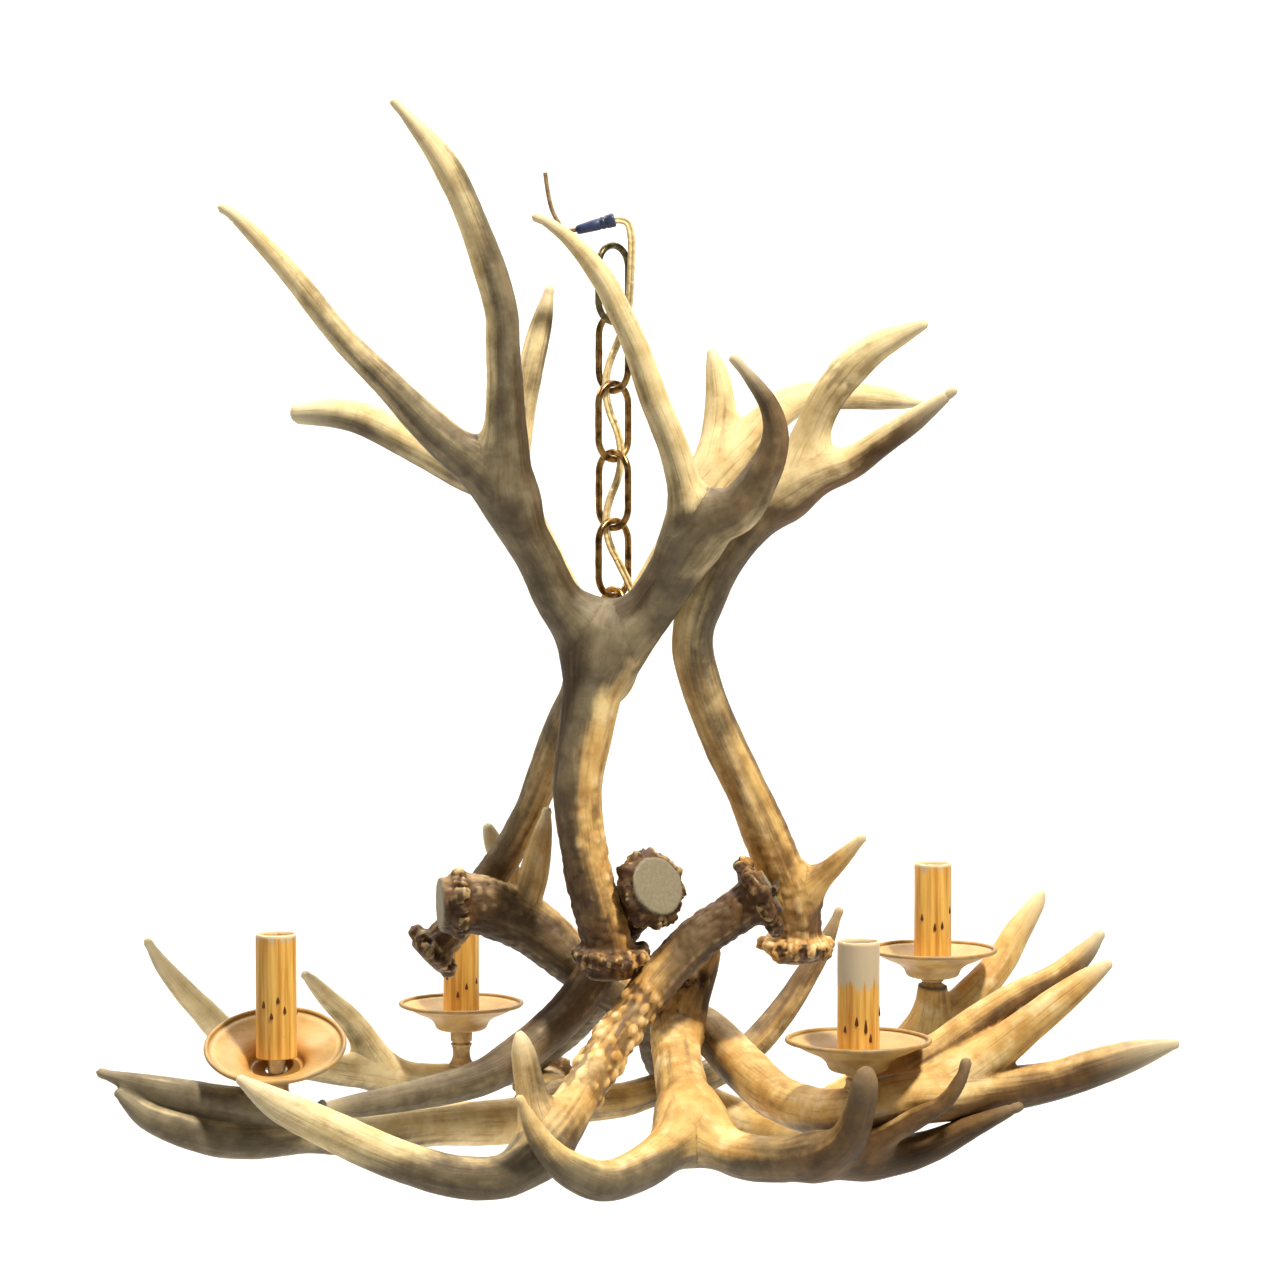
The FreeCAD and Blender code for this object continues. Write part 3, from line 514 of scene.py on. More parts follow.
# %% Weathered and golden bone, with painted sun and shade
def bone_weather_and_painted_light(tree, read, place, fine, broad):
    """The bone's colour, weathering mixed with painted sunlight and shade, and the share of gold in it."""
    cloud = noise_node(tree, place, 60.0, 5.0, 0.6)
    ragged = plus(tree, times(tree, less(tree, broad, 0.5), 0.7), times(tree, less(tree, cloud, 0.5), 0.35))
    # the tone with noise: weathering, with painted sunlight where golden and painted cast shadow where grey
    weather_and_painted_light = plus(tree, read["tone"], ragged)
    share = ramp(tree, weather_and_painted_light, 0.24, 0.72)
    split = node(tree, "ShaderNodeSeparateXYZ", {"Vector": place})
    across, height = split.outputs["X"], split.outputs["Z"]

    dull, bright = ramp(tree, cloud, 0.3, 0.7), ramp(tree, cloud, 0.3, 0.72)
    grey = mix_colour(tree, dull, rgb(0.105, 0.082, 0.047), rgb(0.215, 0.175, 0.105))
    brown = mix_colour(tree, dull, rgb(0.075, 0.036, 0.010), rgb(0.20, 0.108, 0.036))
    # the grey turns brown towards the right, and near the burrs and the crossing
    browner = math_node(tree, "MAXIMUM", ramp(tree, across, 0.03, 0.14), read["burr"])
    grey = mix_colour(tree, browner, grey, brown)
    # where the tone runs below zero the grey darkens further: painted shade
    grey = mix_colour(tree, ramp(tree, weather_and_painted_light, 0.05, -0.4), grey, rgb(0.055, 0.033, 0.013))

    gold = mix_colour(tree, bright, rgb(0.52, 0.285, 0.075), rgb(0.76, 0.52, 0.19))
    cream = mix_colour(tree, bright, rgb(0.60, 0.47, 0.23), rgb(0.80, 0.70, 0.43))
    # cream towards the top and the left
    bleached = math_node(tree, "MAXIMUM", ramp(tree, height, -0.33, -0.16), ramp(tree, across, 0.03, -0.14))
    gold = mix_colour(tree, times(tree, bleached, 0.8), gold, cream)
    colour = mix_colour(tree, share, grey, gold)

    patch = use_group(tree, BLOTCH, {"Vector": place, "Scale": 34.0, "Amount": 0.45}).outputs["Mask"]
    pale = times(tree, times(tree, patch, share), 0.6)
    colour = mix_colour(tree, pale, colour, rgb(0.88, 0.72, 0.40))
    dark_lines = times(tree, ramp(tree, fine, 0.44, 0.30), 0.45)
    return mix_colour(tree, dark_lines, colour, rgb(0.16, 0.09, 0.032)), share


print("bone tones ready")

# %% [markdown]
# ## Bone: dirt and painted shade, rubbed and highlit peaks, tips and cuts
# Dirt gathers in the hollows and most of all round the burr. The same darkening is also painted shade in
# the pearls' valleys, in the burr's recesses and where the antlers cross. The peaks are rubbed pale by
# handling, and on the burr and the pearls that pale is also a painted highlight. The round hole in one beam
# is painted near black inside, as painted shade. The points wear to ivory. Where an antler was sawn for
# this chandelier its dull grey core shows. All of these follow the shape, so each is a mask that the
# growing code stores.

# %% Dirt and painted shade, peaks with painted highlight, tips and cuts
def worn_bone_and_painted_light(tree, read, place, colour, share):
    """Lays dirt with painted shade, rubbed peaks with painted highlight, ivory tips, sawn faces and the
    hole's painted shade over the bone's colour.
    """
    burr = read["burr"]
    # a dark colour in the low relief: dirt, and painted shade in the valleys and the burr's recesses
    colour = use_group(tree, GRIME_AND_SHADE, {"Colour": colour, "Dirt_and_shade": rgb(0.075, 0.036, 0.012),
                                     "Height": read["relief"],
                                     "Amount": plus(tree, times(tree, burr, 0.75), 0.55)}).outputs["Colour"]
    # a brown stain near the burr; at the crossing the same darkening is painted shade
    stained_and_shaded = mix_colour(tree, 1.0, colour, rgb(0.62, 0.43, 0.24), "MULTIPLY")
    colour = mix_colour(tree, times(tree, burr, 0.75), colour, stained_and_shaded)

    # pale peaks: rubbing, and on the burr and the pearls a painted highlight
    rubbed_and_highlit = plus(tree, times(tree, share, 0.5), plus(tree, times(tree, burr, 0.4), 0.08))
    peak = times(tree, ramp(tree, read["relief"], 0.66, 0.95), rubbed_and_highlit, clamp=True)
    peak_colour = mix_colour(tree, burr, rgb(0.86, 0.72, 0.46), rgb(0.82, 0.58, 0.25))
    colour = mix_colour(tree, peak, colour, peak_colour)
    colour = mix_colour(tree, times(tree, read["tip"], 0.72), colour, rgb(0.80, 0.70, 0.48))

    speckle = noise_node(tree, place, 520.0, 4.0, 0.65)
    sawn = mix_colour(tree, ramp(tree, speckle, 0.3, 0.7), rgb(0.20, 0.175, 0.115),
                      rgb(0.255, 0.225, 0.155))
    colour = mix_colour(tree, read["cut"], colour, sawn)
    # inside the hole the bone is painted near black: painted shade
    return mix_colour(tree, read["hollow"], colour, rgb(0.03, 0.015, 0.006))


print("bone wear ready")

# %% [markdown]
# ## Bone: the finish
# Old bone is nearly matt, a little glossier along its fibres, with fine pores. The gloss and the
# pores are too fine for the mesh, so they are left to the roughness and a bump. The bump fades out
# on a sawn face, which a blade leaves smooth.

# %% The bone material
def bone_material():
    material, tree, shader = new_material("bone", Roughness=0.6, Specular_IOR_Level=0.35)
    read = {name: attribute(tree, name) for name in ("tone", "relief", "burr", "tip", "cut", "hollow")}
    grain, place = attribute(tree, "grain", "Vector"), place_vector(tree)
    fibres = use_group(tree, FIBRES, {"Grain": grain})
    fine, broad = fibres.outputs["Fine"], fibres.outputs["Broad"]
    colour, share = bone_weather_and_painted_light(tree, read, place, fine, broad)
    tree.links.new(worn_bone_and_painted_light(tree, read, place, colour, share), shader.inputs["Base Color"])
    tree.links.new(plus(tree, times(tree, fine, 0.22), 0.48), shader.inputs["Roughness"])

    pores = ramp(tree, noise_node(tree, stretched(tree, grain, (900, 900, 260)), 1.0, 2.0, 0.5), 0.62, 0.74)
    rise = less(tree, plus(tree, fine, times(tree, broad, 0.9)), times(tree, pores, 0.35))
    set_bump(tree, shader, times(tree, rise, less(tree, 1.0, read["cut"])), 0.6, 0.0006)
    return material


BONE = bone_material()
print("bone material:", len(BONE.node_tree.nodes), "nodes")

# %% [markdown]
# ## A limb
# An antler is a beam with tines that branch off it, and each of these is one limb: a tapering rod
# along a bent line. The CAD has the same limbs as solids. `Limb` keeps the centre line with a
# direction and two sides at every point, so that any place on the skin can be told as so far
# along, so far round and so far out. The grain is laid by these, and it runs on from the limb
# that a tine grows out of.

# %% Centre lines and limbs
SAMPLE_STEP = 2.0     # distance between the points of a dense centre line
BLUNT = 3.1           # least radius of a worn tip, in millimetres


def centre_line(points):
    """A dense smooth line of (x, y, z, radius) through a limb's points, in millimetres."""
    p = np.array(points, float)
    p[:, 0] += BALANCE
    p[:, 2] += FOOT
    p[:, 3] /= 2
    steps = np.linalg.norm(np.diff(p[:, :3], axis=0), axis=1)
    return smooth_line(p, [max(2, int(step / SAMPLE_STEP)) for step in steps])


class Limb:
    """A limb's centre line with directions, sides and distance along it."""

    def __init__(self, key, points, older=()):
        line = centre_line(points)
        if line[-1, 3] < BLUNT:       # the worn end is blunter, and no longer, than the CAD tip
            line = line[:-1]
        line[:, 3] = np.maximum(line[:, 3], BLUNT)
        self.key = key
        self.centre, self.radius = line[:, :3], line[:, 3]
        self.way = directions(self.centre)
        self.base, side = 0.0, (0.0, 1.0, 0.0)
        if older:                     # the grain runs on from the limb it grows out of
            reach = [np.linalg.norm(limb.centre - self.centre[0], axis=1) for limb in older]
            parent = min(range(len(older)), key=lambda i: reach[i].min())
            place, limb = reach[parent].argmin(), older[parent]
            self.base, side = limb.base + limb.along[place], limb.side[place]
        self.side = carried_sides(self.way, side)
        self.other = np.cross(self.way, self.side)
        steps = np.linalg.norm(np.diff(self.centre, axis=0), axis=1)
        self.along = np.concatenate([[0], np.cumsum(steps)])
        self.length = self.along[-1]
        self.sawn_start = key == "beam"
        self.sawn_end = key == "candle_tine"

    def gap(self, points):
        """Distance from the limb's skin (negative inside) and the nearest sample."""
        square = ((points ** 2).sum(1)[:, None] + (self.centre ** 2).sum(1)[None]
                  - 2 * points @ self.centre.T)
        apart = np.sqrt(np.maximum(square, 0)).astype(np.float32) - self.radius[None].astype(np.float32)
        nearest = apart.argmin(1)
        gap = apart[np.arange(len(points)), nearest].astype(float)
        if self.sawn_start:
            gap = np.maximum(gap, (points - self.centre[0]) @ -self.way[0])
        if self.sawn_end:
            gap = np.maximum(gap, (points - self.centre[-1]) @ self.way[-1])
        return gap, nearest


print("a test limb is", Limb("test", [(0, 0, 0, 9), (0, 0, 30, 9)]).length, "mm long")

# %% [markdown]
# ## A burr
# The burr is the crown of knobs round the root of an antler, where it sat on the skull. Each is a
# flat ring with knobs set round its edge, the same as in the CAD solid. The ring and knobs are
# given as distances, which can be melted together with the beam.

# %% The burr's ring and knobs
def smooth_min(a, b, k):
    h = np.maximum(k - np.abs(a - b), 0) / k
    return np.minimum(a, b) - h * h * k / 4


class Burr:
    """The ring of a burr, with the same knobs as the CAD solid."""

    def __init__(self, beam, data):
        self.distance, self.width, self.thick, count, size = data
        out = beam.centre[0] - beam.centre[2]
        self.out = out / np.linalg.norm(out)
        self.centre = beam.centre[0] - self.out * self.distance
        rotation = Vector((0, 0, 1)).rotation_difference(Vector(self.out))
        self.knobs = []
        for i in range(count):
            angle = 2 * math.pi * i / count
            radius = size / 2 * (0.85 + 0.3 * math.sin(2.4 * i + self.width))
            away = self.width / 2 - 0.35 * radius
            spot = rotation @ Vector((away * math.cos(angle), away * math.sin(angle),
                                      0.22 * self.thick * math.sin(4.1 * i)))
            self.knobs.append((self.centre + np.array(spot), radius))

    def round_it(self, points):
        """Coordinates round, out from and along the ring, in millimetres."""
        apart = points - self.centre
        first = np.cross(self.out, (0.3, 0.5, 0.8))
        first /= np.linalg.norm(first)
        second = np.cross(self.out, first)
        angle = np.arctan2(apart @ second, apart @ first)
        high = apart @ self.out
        away = np.linalg.norm(apart - high[:, None] * self.out, axis=1)
        return np.column_stack([(angle + math.pi) * self.width / 2, away, high])

    def gap(self, points):
        apart = points - self.centre
        high = apart @ self.out
        away = np.linalg.norm(apart - high[:, None] * self.out, axis=1)
        flat = self.width / 2 - self.thick / 2
        ring = np.hypot(np.maximum(away - flat, 0), high) - self.thick / 2
        for centre, radius in self.knobs:
            ring = smooth_min(ring, np.linalg.norm(points - centre, axis=1) - radius, 2.5)
        return ring


print("melted distance of 1 and 1.5 mm:", round(float(smooth_min(1.0, 1.5, 2.5)), 3))

# %% [markdown]
# ## Webbed forks
# In grown bone a fork is webbed: the limbs run into each other in a smooth hollow. Joining the
# limbs' meshes by a plain union would leave a sharp crease there. Instead a first skin is
# remeshed from rough tubes, and its points are moved on to a smooth union of all the limbs and
# the burr. The web is narrower in the two antlers where tines run close side by side.

# %% Moving a skin on to the union
WEB = 15.0            # how wide a fork's web reaches, in millimetres
NARROW_WEBS = {"antler_low_cross": 4.0, "antler_low_right": 3.0}    # where two tines run close
LONGEST_MOVE = 4.0    # how far a point may move in one step
# holes: antler -> (x, y, z over the foot, radius)
HOLES = {"antler_low_ridged": [(95, -25, -172, 6.5)]}


def relax(co, edges, times, share):
    """Evens out a mesh by moving each point towards the mean of its neighbours."""
    count = np.bincount(edges.ravel(), minlength=len(co))[:, None]
    for _ in range(times):
        total = np.zeros_like(co)
        np.add.at(total, edges[:, 0], co[edges[:, 1]])
        np.add.at(total, edges[:, 1], co[edges[:, 0]])
        co = co + share * (total / np.maximum(count, 1) - co)
    return co


def hole_gap(points, x, y, z, radius):
    """Distance from a round hole's wall, negative inside it."""
    return np.linalg.norm(points - np.array((x + BALANCE, y, z + FOOT)), axis=1) - radius


def union_gap(points, limbs, burr, carves, web):
    """Signed distance to the smooth union of the limbs and the burr."""
    total = limbs[0].gap(points)[0]
    for limb in limbs[1:]:
        total = smooth_min(total, limb.gap(points)[0], web)
    total = smooth_min(total, burr.gap(points), 4.0)
    for carve in carves:
        total = np.maximum(total, -hole_gap(points, *carve))
    return total


def settle(piece, limbs, burr, carves, web, steps):
    """Moves the skin onto the union, along its own normals."""
    edges = edge_list(piece)
    for index in range(steps):
        co = coordinates(piece) / MM
        total = union_gap(co, limbs, burr, carves, web)
        co = co - np.clip(total, -LONGEST_MOVE, LONGEST_MOVE)[:, None] * normals(piece)
        if index < steps - 1:
            co = relax(co, edges, 1, 0.4)
        put_back(piece, co * MM)


print("webs of", WEB, "mm, narrower in", len(NARROW_WEBS), "antlers")

# %% [markdown]
# ## How each antler is weathered, with painted sun and shade
# No two of the ten antlers have aged alike: some limbs are grey from root to tip, others turn golden half
# way. One even colour would look like plaster. So each limb has a few steps from its root to its tip that
# say how golden it is, set against the photograph. The low steps are also painted cast shadow and the high
# ones painted sunlight, and steps below zero paint deeper shade. Each limb also has a side that is painted
# paler, as painted sunlight on that side.

# %% Tones along the limbs, with painted sun and shade
# tones along a limb (0 weathered grey, also painted cast shadow; 1 golden, also painted sunlight), the way
# its painted sunlit side faces (x, z), and how much paler that side is painted
TONES = {
    "antler_upright_front": {"beam": ((0.3, 0.4, 0.5, -0.1), 1.0, 0.2, 0.6),
                             "left": ((0.0, 0.1, 0.3, 0.85), -0.8, 0.3, 0.5),
                             "tine_outer_left": ((0.25, 0.55, 0.95), -0.6, 0.6, 0.35),
                             "right": ((0.0, 0.1, 0.05, 0.1), 0.6, -0.8, 0.35),
                             "tine_over_chain": ((0.6, 0.85, 0.95), 0.6, 0.5, 0.3)},
    "antler_upright_back": {"beam": ((0.1, 0.25, 0.6, 0.8), 1.0, 0.0, 0.3),
                            "left": ((0.7, 0.6, 0.5), 0.0, 1.0, 0.4),
                            "right": ((0.7, 0.85), 0.0, 1.0, 0.3)},
    "antler_upright_right": {"beam": ((0.7, 0.35, 0.6, 0.45, 0.35, 0.3), -0.6, 0.8, 0.55),
                             "tine_upper": ((0.6, 0.8, 0.95), -0.3, 1.0, 0.3),
                             "brow_tine": ((0.3, 0.6), 0.6, -0.8, 0.3)},
    "antler_low_ridged": {"beam": ((0.1, -0.1, 0.7, 0.8, 0.05, 0.1, 0.95, 0.75), 0.0, 1.0, 0.4),
                          "tine_near": ((0.6, 0.8), -1.0, 0.0, 0.35)},
    "antler_low_front": {"beam": ((0.7, 0.7, 0.9), -0.5, 0.8, 0.25),
                         "left": ((0.85, 0.2, 0.15, 0.8), 0.0, 1.0, 0.5),
                         "right": ((0.8, 0.35, 0.1, 0.0), -0.3, 0.9, 0.4),
                         "tine_far": ((0.0, -0.2, -0.2), 0.0, 1.0, 0.35),
                         "tine_curved": ((0.2, -0.05), 0.0, 1.0, 0.3)},
    "antler_low_left": {"beam": ((0.0, -0.15, -0.2, 0.0), 0.6, 0.8, 0.25)},
    "antler_low_right": {"beam": ((0.1, 0.05, 0.1, 0.7, 0.8, 0.1, -0.1), 0.0, 1.0, 0.6),
                         "tine_upper": ((-0.05, 0.1, 0.3), -0.4, 1.0, 0.65),
                         "tine_middle": ((0.7, 0.95), 0.3, 0.8, 0.3),
                         "brow_tine": ((0.7, 0.85), 1.0, 0.0, 0.25)},
    "antler_low_back_left": {"beam": ((0.4, 0.6, 0.75, 0.8), 0.2, 1.0, 0.35)},
    "antler_low_back_right": {"beam": ((0.5, 0.8, 0.85), 0.4, 0.8, 0.35)},
    "antler_low_cross": {"beam": ((0.4, 0.4), 0.0, 1.0, 0.3),
                         "left": ((1.0, 1.0, 0.3, 0.05), 0.0, 1.0, 0.35),
                         "tine_upper": ((0.15, 0.1), 0.0, 1.0, 0.2),
                         "right": ((0.4, 0.2), 0.6, 0.4, 0.3)},
}
PLAIN_TONE = ((0.6, 0.85), 0, 1, 0.3)                 # a tine that has no row of its own
print("limbs with tones of their own:", sum(len(rows) for rows in TONES.values()))

# %% Pearls, dirt and tips
# stretches with strong pearls: antler -> (limb, from, to, height), millimetres along the limb
PEARLED = {"antler_low_ridged": ("beam", 92, 186, 3.3), "antler_upright_front": ("beam", 20, 110, 0.8),
           "antler_upright_right": ("tine_upper", 62, 88, 1.3)}
CUT_FACE_SHY = 1.2                    # relief fades out this near a sawn face
MIDDLE_KNOT = np.array((0.0, 0.0, -195.0 + FOOT))     # where the antlers cross, darkest from dirt and painted shade
KNOT_REACH = 125                      # how far its dirt and painted shade reach
KNOT_DIRT_AND_SHADE = {"antler_low_front": 0.1, "antler_low_right": 0.45}    # the rest have 0.7
PALE_TIPS = {"antler_low_front": 0.2, "antler_low_cross": 0.4}     # the rest have 1
FORK_BLEND = 3.0                      # how softly one limb's looks pass into the next
GRAIN_ROUND = 12.0                    # radius of the grain coordinates round a limb
print("antlers with strong pearls:", sorted(PEARLED))

# %% [markdown]
# ## What the skin knows
# The material can't tell one limb from another, so the skin has to carry that. For every point these
# functions find the limbs near it, how far along and round each it lies, and how golden it is, with its
# painted sunlight, cast shadow and sunlit side. They also find how near a tip or a saw cut it is, and how
# much it has of the burr's dirt and of the painted shade at the crossing. Where limbs meet, the answers are
# blended over `FORK_BLEND` millimetres, so no seam shows in a fork.

# %% Values from the limbs
def limb_values(name, limbs, co, no):
    """What the limbs near a point say of it, blended where they meet."""
    found = [limb.gap(co) for limb in limbs]
    gaps = np.stack([gap for gap, _ in found])
    owner = gaps.argmin(0)
    shares = np.exp((gaps.min(0) - gaps) / FORK_BLEND)
    shares /= shares.sum(0)
    count, tones = len(co), TONES[name]
    grain, strong = np.zeros((count, 3)), np.zeros(count)
    tone, tip, radius = np.zeros(count), np.zeros(count), np.zeros(count)
    for index, limb in enumerate(limbs):
        nearest, share = found[index][1], shares[index]
        apart = co - limb.centre[nearest]
        s = limb.along[nearest] + (apart * limb.way[nearest]).sum(1)
        u, v = (apart * limb.side[nearest]).sum(1), (apart * limb.other[nearest]).sum(1)
        size = np.maximum(np.hypot(u, v), 1e-6)
        mine = owner == index
        grain[mine] = np.stack([u / size * GRAIN_ROUND, v / size * GRAIN_ROUND, s + limb.base], 1)[mine]
        radius += share * limb.radius[nearest]
        steps, side_x, side_z, painted_sun_amount = tones.get(limb.key, tones.get("left", PLAIN_TONE))
        # the limb's side that faces this way is painted paler: painted sunlight on that side
        painted_sun_side = np.array((side_x, 0, side_z)) / math.hypot(side_x, side_z)
        run = np.interp(s / limb.length, np.linspace(0, 1, len(steps)), steps)
        tone += share * (run + painted_sun_amount * (no @ painted_sun_side))
        if not limb.sawn_end and limb.radius[-1] < 8:
            tip += share * np.clip(1 - (limb.length - s) / (14 + 0.07 * limb.length), 0, 1)
        if limb.key == PEARLED.get(name, ("",))[0]:
            _, low, high, height = PEARLED[name]
            inside = np.clip((s - low) / 14, 0, 1) * np.clip((high - s) / 14, 0, 1)
            strong += share * inside * height
    return owner, grain, tone, tip, radius, strong


print("limb values ready")

# %% Distances from cuts and from the burr
def sawn_distance(limbs, co):
    """How far each point is from the nearest sawn face, in millimetres."""
    sawn = np.full(len(co), 99.0)
    for limb in limbs:
        for is_sawn, end in ((limb.sawn_start, 0), (limb.sawn_end, -1)):
            if is_sawn:
                apart = co - limb.centre[end]
                beside = np.linalg.norm(apart, axis=1) > limb.radius[end] + 3
                sawn = np.minimum(sawn, np.abs(apart @ limb.way[end]) + 9 * beside)
    return sawn


def burr_masks(name, burr, co, on_beam):
    """Dirt near the burr, dirt with painted shade at the crossing, the rough part of the beam, and the
    burr's own ring.
    """
    from_burr = np.linalg.norm(co - burr.centre, axis=1)
    near_burr = np.clip(1.25 - from_burr / (burr.width * 0.95), 0, 1)
    # near the crossing the mask rises too, as dirt and as painted shade where the antlers crowd
    inward = np.clip(1.1 - np.linalg.norm(co - MIDDLE_KNOT, axis=1) / KNOT_REACH, 0, 1)
    near_burr = np.maximum(near_burr, KNOT_DIRT_AND_SHADE.get(name, 0.7) * inward)
    rough_beam = np.clip(1 - from_burr / 110, 0, 1) * on_beam
    off_plane = np.abs((co - burr.centre) @ burr.out) / (burr.thick * 0.62)
    on_ring = np.clip(1.2 - off_plane, 0, 1) * (from_burr < burr.width * 0.75)
    return near_burr, rough_beam, on_ring


print("cut and burr distances ready")

# %% [markdown]
# ## Grain, pearls and dents
# Close to, an antler has long furrows where blood vessels ran, pearls on the lower beam, and a craggy burr.
# A displacement texture could press these in, but they have to follow the grain and to fade out at the tips
# and the cuts. So each is noise or bumps measured in the grain's own coordinates, and all of them are added
# up to one depth. The same patterns then give `relief`, which tells the material where dirt and painted
# shade lie in the low places, and where the peaks are paled, partly as a painted highlight.

# %% Pressing the detail in
def fine_skin(name, piece, limbs, burr, seed):
    """Presses grain, pearls and dents into the skin, and stores what the material reads."""
    co, no = coordinates(piece) / MM, normals(piece)
    owner, grain, tone, tip, radius, strong = limb_values(name, limbs, co, no)
    near_burr, rough_beam, on_ring = burr_masks(name, burr, co, owner == 0)
    keep = np.clip((sawn_distance(limbs, co) - 0.4) / CUT_FACE_SHY, 0, 1)
    thick, smooth_tip = np.clip(radius / 12, 0.25, 1.3), 1 - 0.85 * tip

    fibre = 1 - np.abs(noise(grain / (2.6, 2.6, 34), seed)) * 2
    furrow = noise(grain / (5.5, 5.5, 70), seed + 1)
    dents = noise(co / 11, seed + 2) + 0.6 * noise(co / 5, seed + 3)
    swell = noise(co / 34, seed + 4)
    pearl = bumps(co / (5.2, 5.2, 5.2), seed + 5)
    knobs = bumps(co / 3.6, seed + 11)
    flutes = bumps(burr.round_it(co) / (4.4, 8.0, 7.0), seed + 13)
    crags = 0.6 * flutes + 0.5 * knobs + 0.16 * noise(co / 1.5, seed + 14)
    ridge = np.clip(bumps(grain / (6.0, 6.0, 8.5), seed + 17) * 1.55 - 0.5, 0, 1)

    depth = (0.13 * fibre + 0.30 * furrow) * thick * smooth_tip
    depth += (0.20 * dents + 0.60 * swell) * thick
    depth += rough_beam * smooth_tip * (1.5 * pearl - 0.5)
    depth += on_ring * (3.8 * crags - 1.5)
    depth += strong * (ridge - 0.25)
    depth = depth * keep + (1 - keep) * 0.12 * noise(co / 2.2, seed + 6)
    put_back(piece, np.clip((co + no * depth[:, None]) * MM, *CAD_BOX))     # never past the CAD

    # relief: the low places get dirt and painted shade, and the high ones pale peaks that are partly a
    # painted highlight
    relief = 0.5 + 0.22 * fibre * smooth_tip + 0.2 * furrow + 0.10 * noise(co / 3.0, seed + 7)
    relief += rough_beam * (0.35 * pearl - 0.2) + on_ring * (1.7 * crags - 0.7)
    relief += np.clip(strong / 1.6, 0, 1) * (0.95 * ridge - 0.38)
    tone += 0.2 * noise(co / 42, seed + 8) + 0.08 * noise(grain / (9, 9, 90), seed + 9)
    tone += 0.3 * np.clip(strong, 0, 1) * ridge
    # the round hole's wall is marked to be painted near black: painted shade
    hollow = np.zeros(len(co))
    for hole in HOLES.get(name, []):
        hollow = np.maximum(hollow, np.clip((0.8 - hole_gap(co, *hole)) / 1.2, 0, 1))
    point_values(piece, grain=grain * MM, tone=np.clip(tone, -0.6, 1), relief=np.clip(relief, 0, 1),
                 burr=near_burr, tip=tip ** 1.5 * PALE_TIPS.get(name, 1.0), cut=1 - keep, hollow=hollow)


print("detail ready")

# %% [markdown]
# ## Growing one antler
# The steps above are put in order: rough tubes and a disc for the burr, one skin remeshed from
# them, three steps on to the union, one division of the faces, two more steps, then the detail.
# The skin is divided between the steps, because a coarse skin settles much faster.

# %% Growing
BASE_VOXEL = 2.7      # size of the first skin's faces; half of it after dividing


def grow(name, seed):
    """Makes one antler's skin, and puts it in the place of its CAD node."""
    limbs = []
    for key, points in ANTLERS[name].items():
        limbs.append(Limb(key, points, limbs))
    burr = Burr(limbs[0], BURRS[name])
    half = burr.out * burr.thick * 0.4
    disc = np.stack([burr.centre - half, burr.centre, burr.centre + half])
    parts = [tube(limb.centre[::2] * MM, np.maximum(limb.radius[::2], 1.2) * MM, 18) for limb in limbs]
    parts.append(tube(disc * MM, burr.width / 2 * MM, 24, first=(0.3, 0.5, 0.8)))
    piece = new_piece(name + "_bone", *joined(*parts), BONE, None)
    apply_modifier(piece, "REMESH", mode="VOXEL", voxel_size=BASE_VOXEL * MM)
    carves, web = HOLES.get(name, []), NARROW_WEBS.get(name, WEB)
    settle(piece, limbs, burr, carves, web, 3)
    apply_modifier(piece, "SUBSURF", levels=1, render_levels=1)
    settle(piece, limbs, burr, carves, web, 2)
    fine_skin(name, piece, limbs, burr, seed)
    piece.data.polygons.foreach_set("use_smooth", [True] * len(piece.data.polygons))
    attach(piece, "antler_frame")
    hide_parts(name)
    print(name, len(piece.data.vertices), "points")


print("first skin's faces are", BASE_VOXEL, "mm wide")

# %% [markdown]
# ## The upright antlers
# Three antlers stand on their burrs and carry the chandelier up to its chain. Each is a set of
# limbs, and each limb a list of (x, y, z over the foot, width), the same as in the CAD. Across
# and up, the points were read from the photograph at the chain's scale. How far back they lie
# follows from what hides what, and from where the antlers touch.

# %% Front upright antler
UPRIGHT_FRONT = {
    "beam": [(1, -30, -218, 29), (0, -31, -204, 29), (-8, -32, -175, 28), (-15, -32, -146, 27),
             (-18, -33, -111, 28), (-13, -32, -73, 31), (-8, -31, -45, 35), (-4, -30, -25, 41)],
    "left": [(-5, -29, -33, 32), (-16, -32, -16, 31), (-29, -37, -1, 26), (-40, -42, 22, 25),
             (-50, -48, 41, 27), (-57, -54, 64, 29), (-58, -60, 89, 25), (-58, -66, 112, 21),
             (-59, -71, 140, 19), (-60, -74, 161, 19), (-66, -78, 184, 19), (-78, -84, 216, 16),
             (-88, -88, 237, 16), (-99, -91, 253, 12), (-118, -94, 275, 4)],
    "tine_outer_left": [(-55, -53, 55, 24), (-80, -58, 78, 23), (-103, -65, 99, 20),
                        (-124, -73, 121, 16), (-149, -82, 147, 14), (-175, -92, 180, 12),
                        (-202, -101, 209, 8), (-212, -103, 216, 4)],
    "right": [(-3, -29, -33, 31), (17, -32, -14, 30), (33, -38, 8, 30), (46, -46, 30, 31),
              (58, -53, 44, 29), (73, -56, 51, 26), (83, -60, 65, 21), (91, -65, 81, 17),
              (93, -69, 95, 14), (89, -73, 109, 11), (80, -76, 122, 8), (69, -79, 135, 4)],
    "tine_over_chain": [(46, -48, 33, 25), (44, -54, 53, 22), (41, -58, 68, 19), (35, -64, 88, 17),
                        (25, -71, 112, 16), (16, -77, 138, 15), (7, -82, 158, 14), (-4, -85, 179, 13),
                        (-20, -89, 198, 9), (-34, -90, 209, 6), (-41, -91, 212, 3)],
}
print("front upright antler:", len(UPRIGHT_FRONT), "limbs")

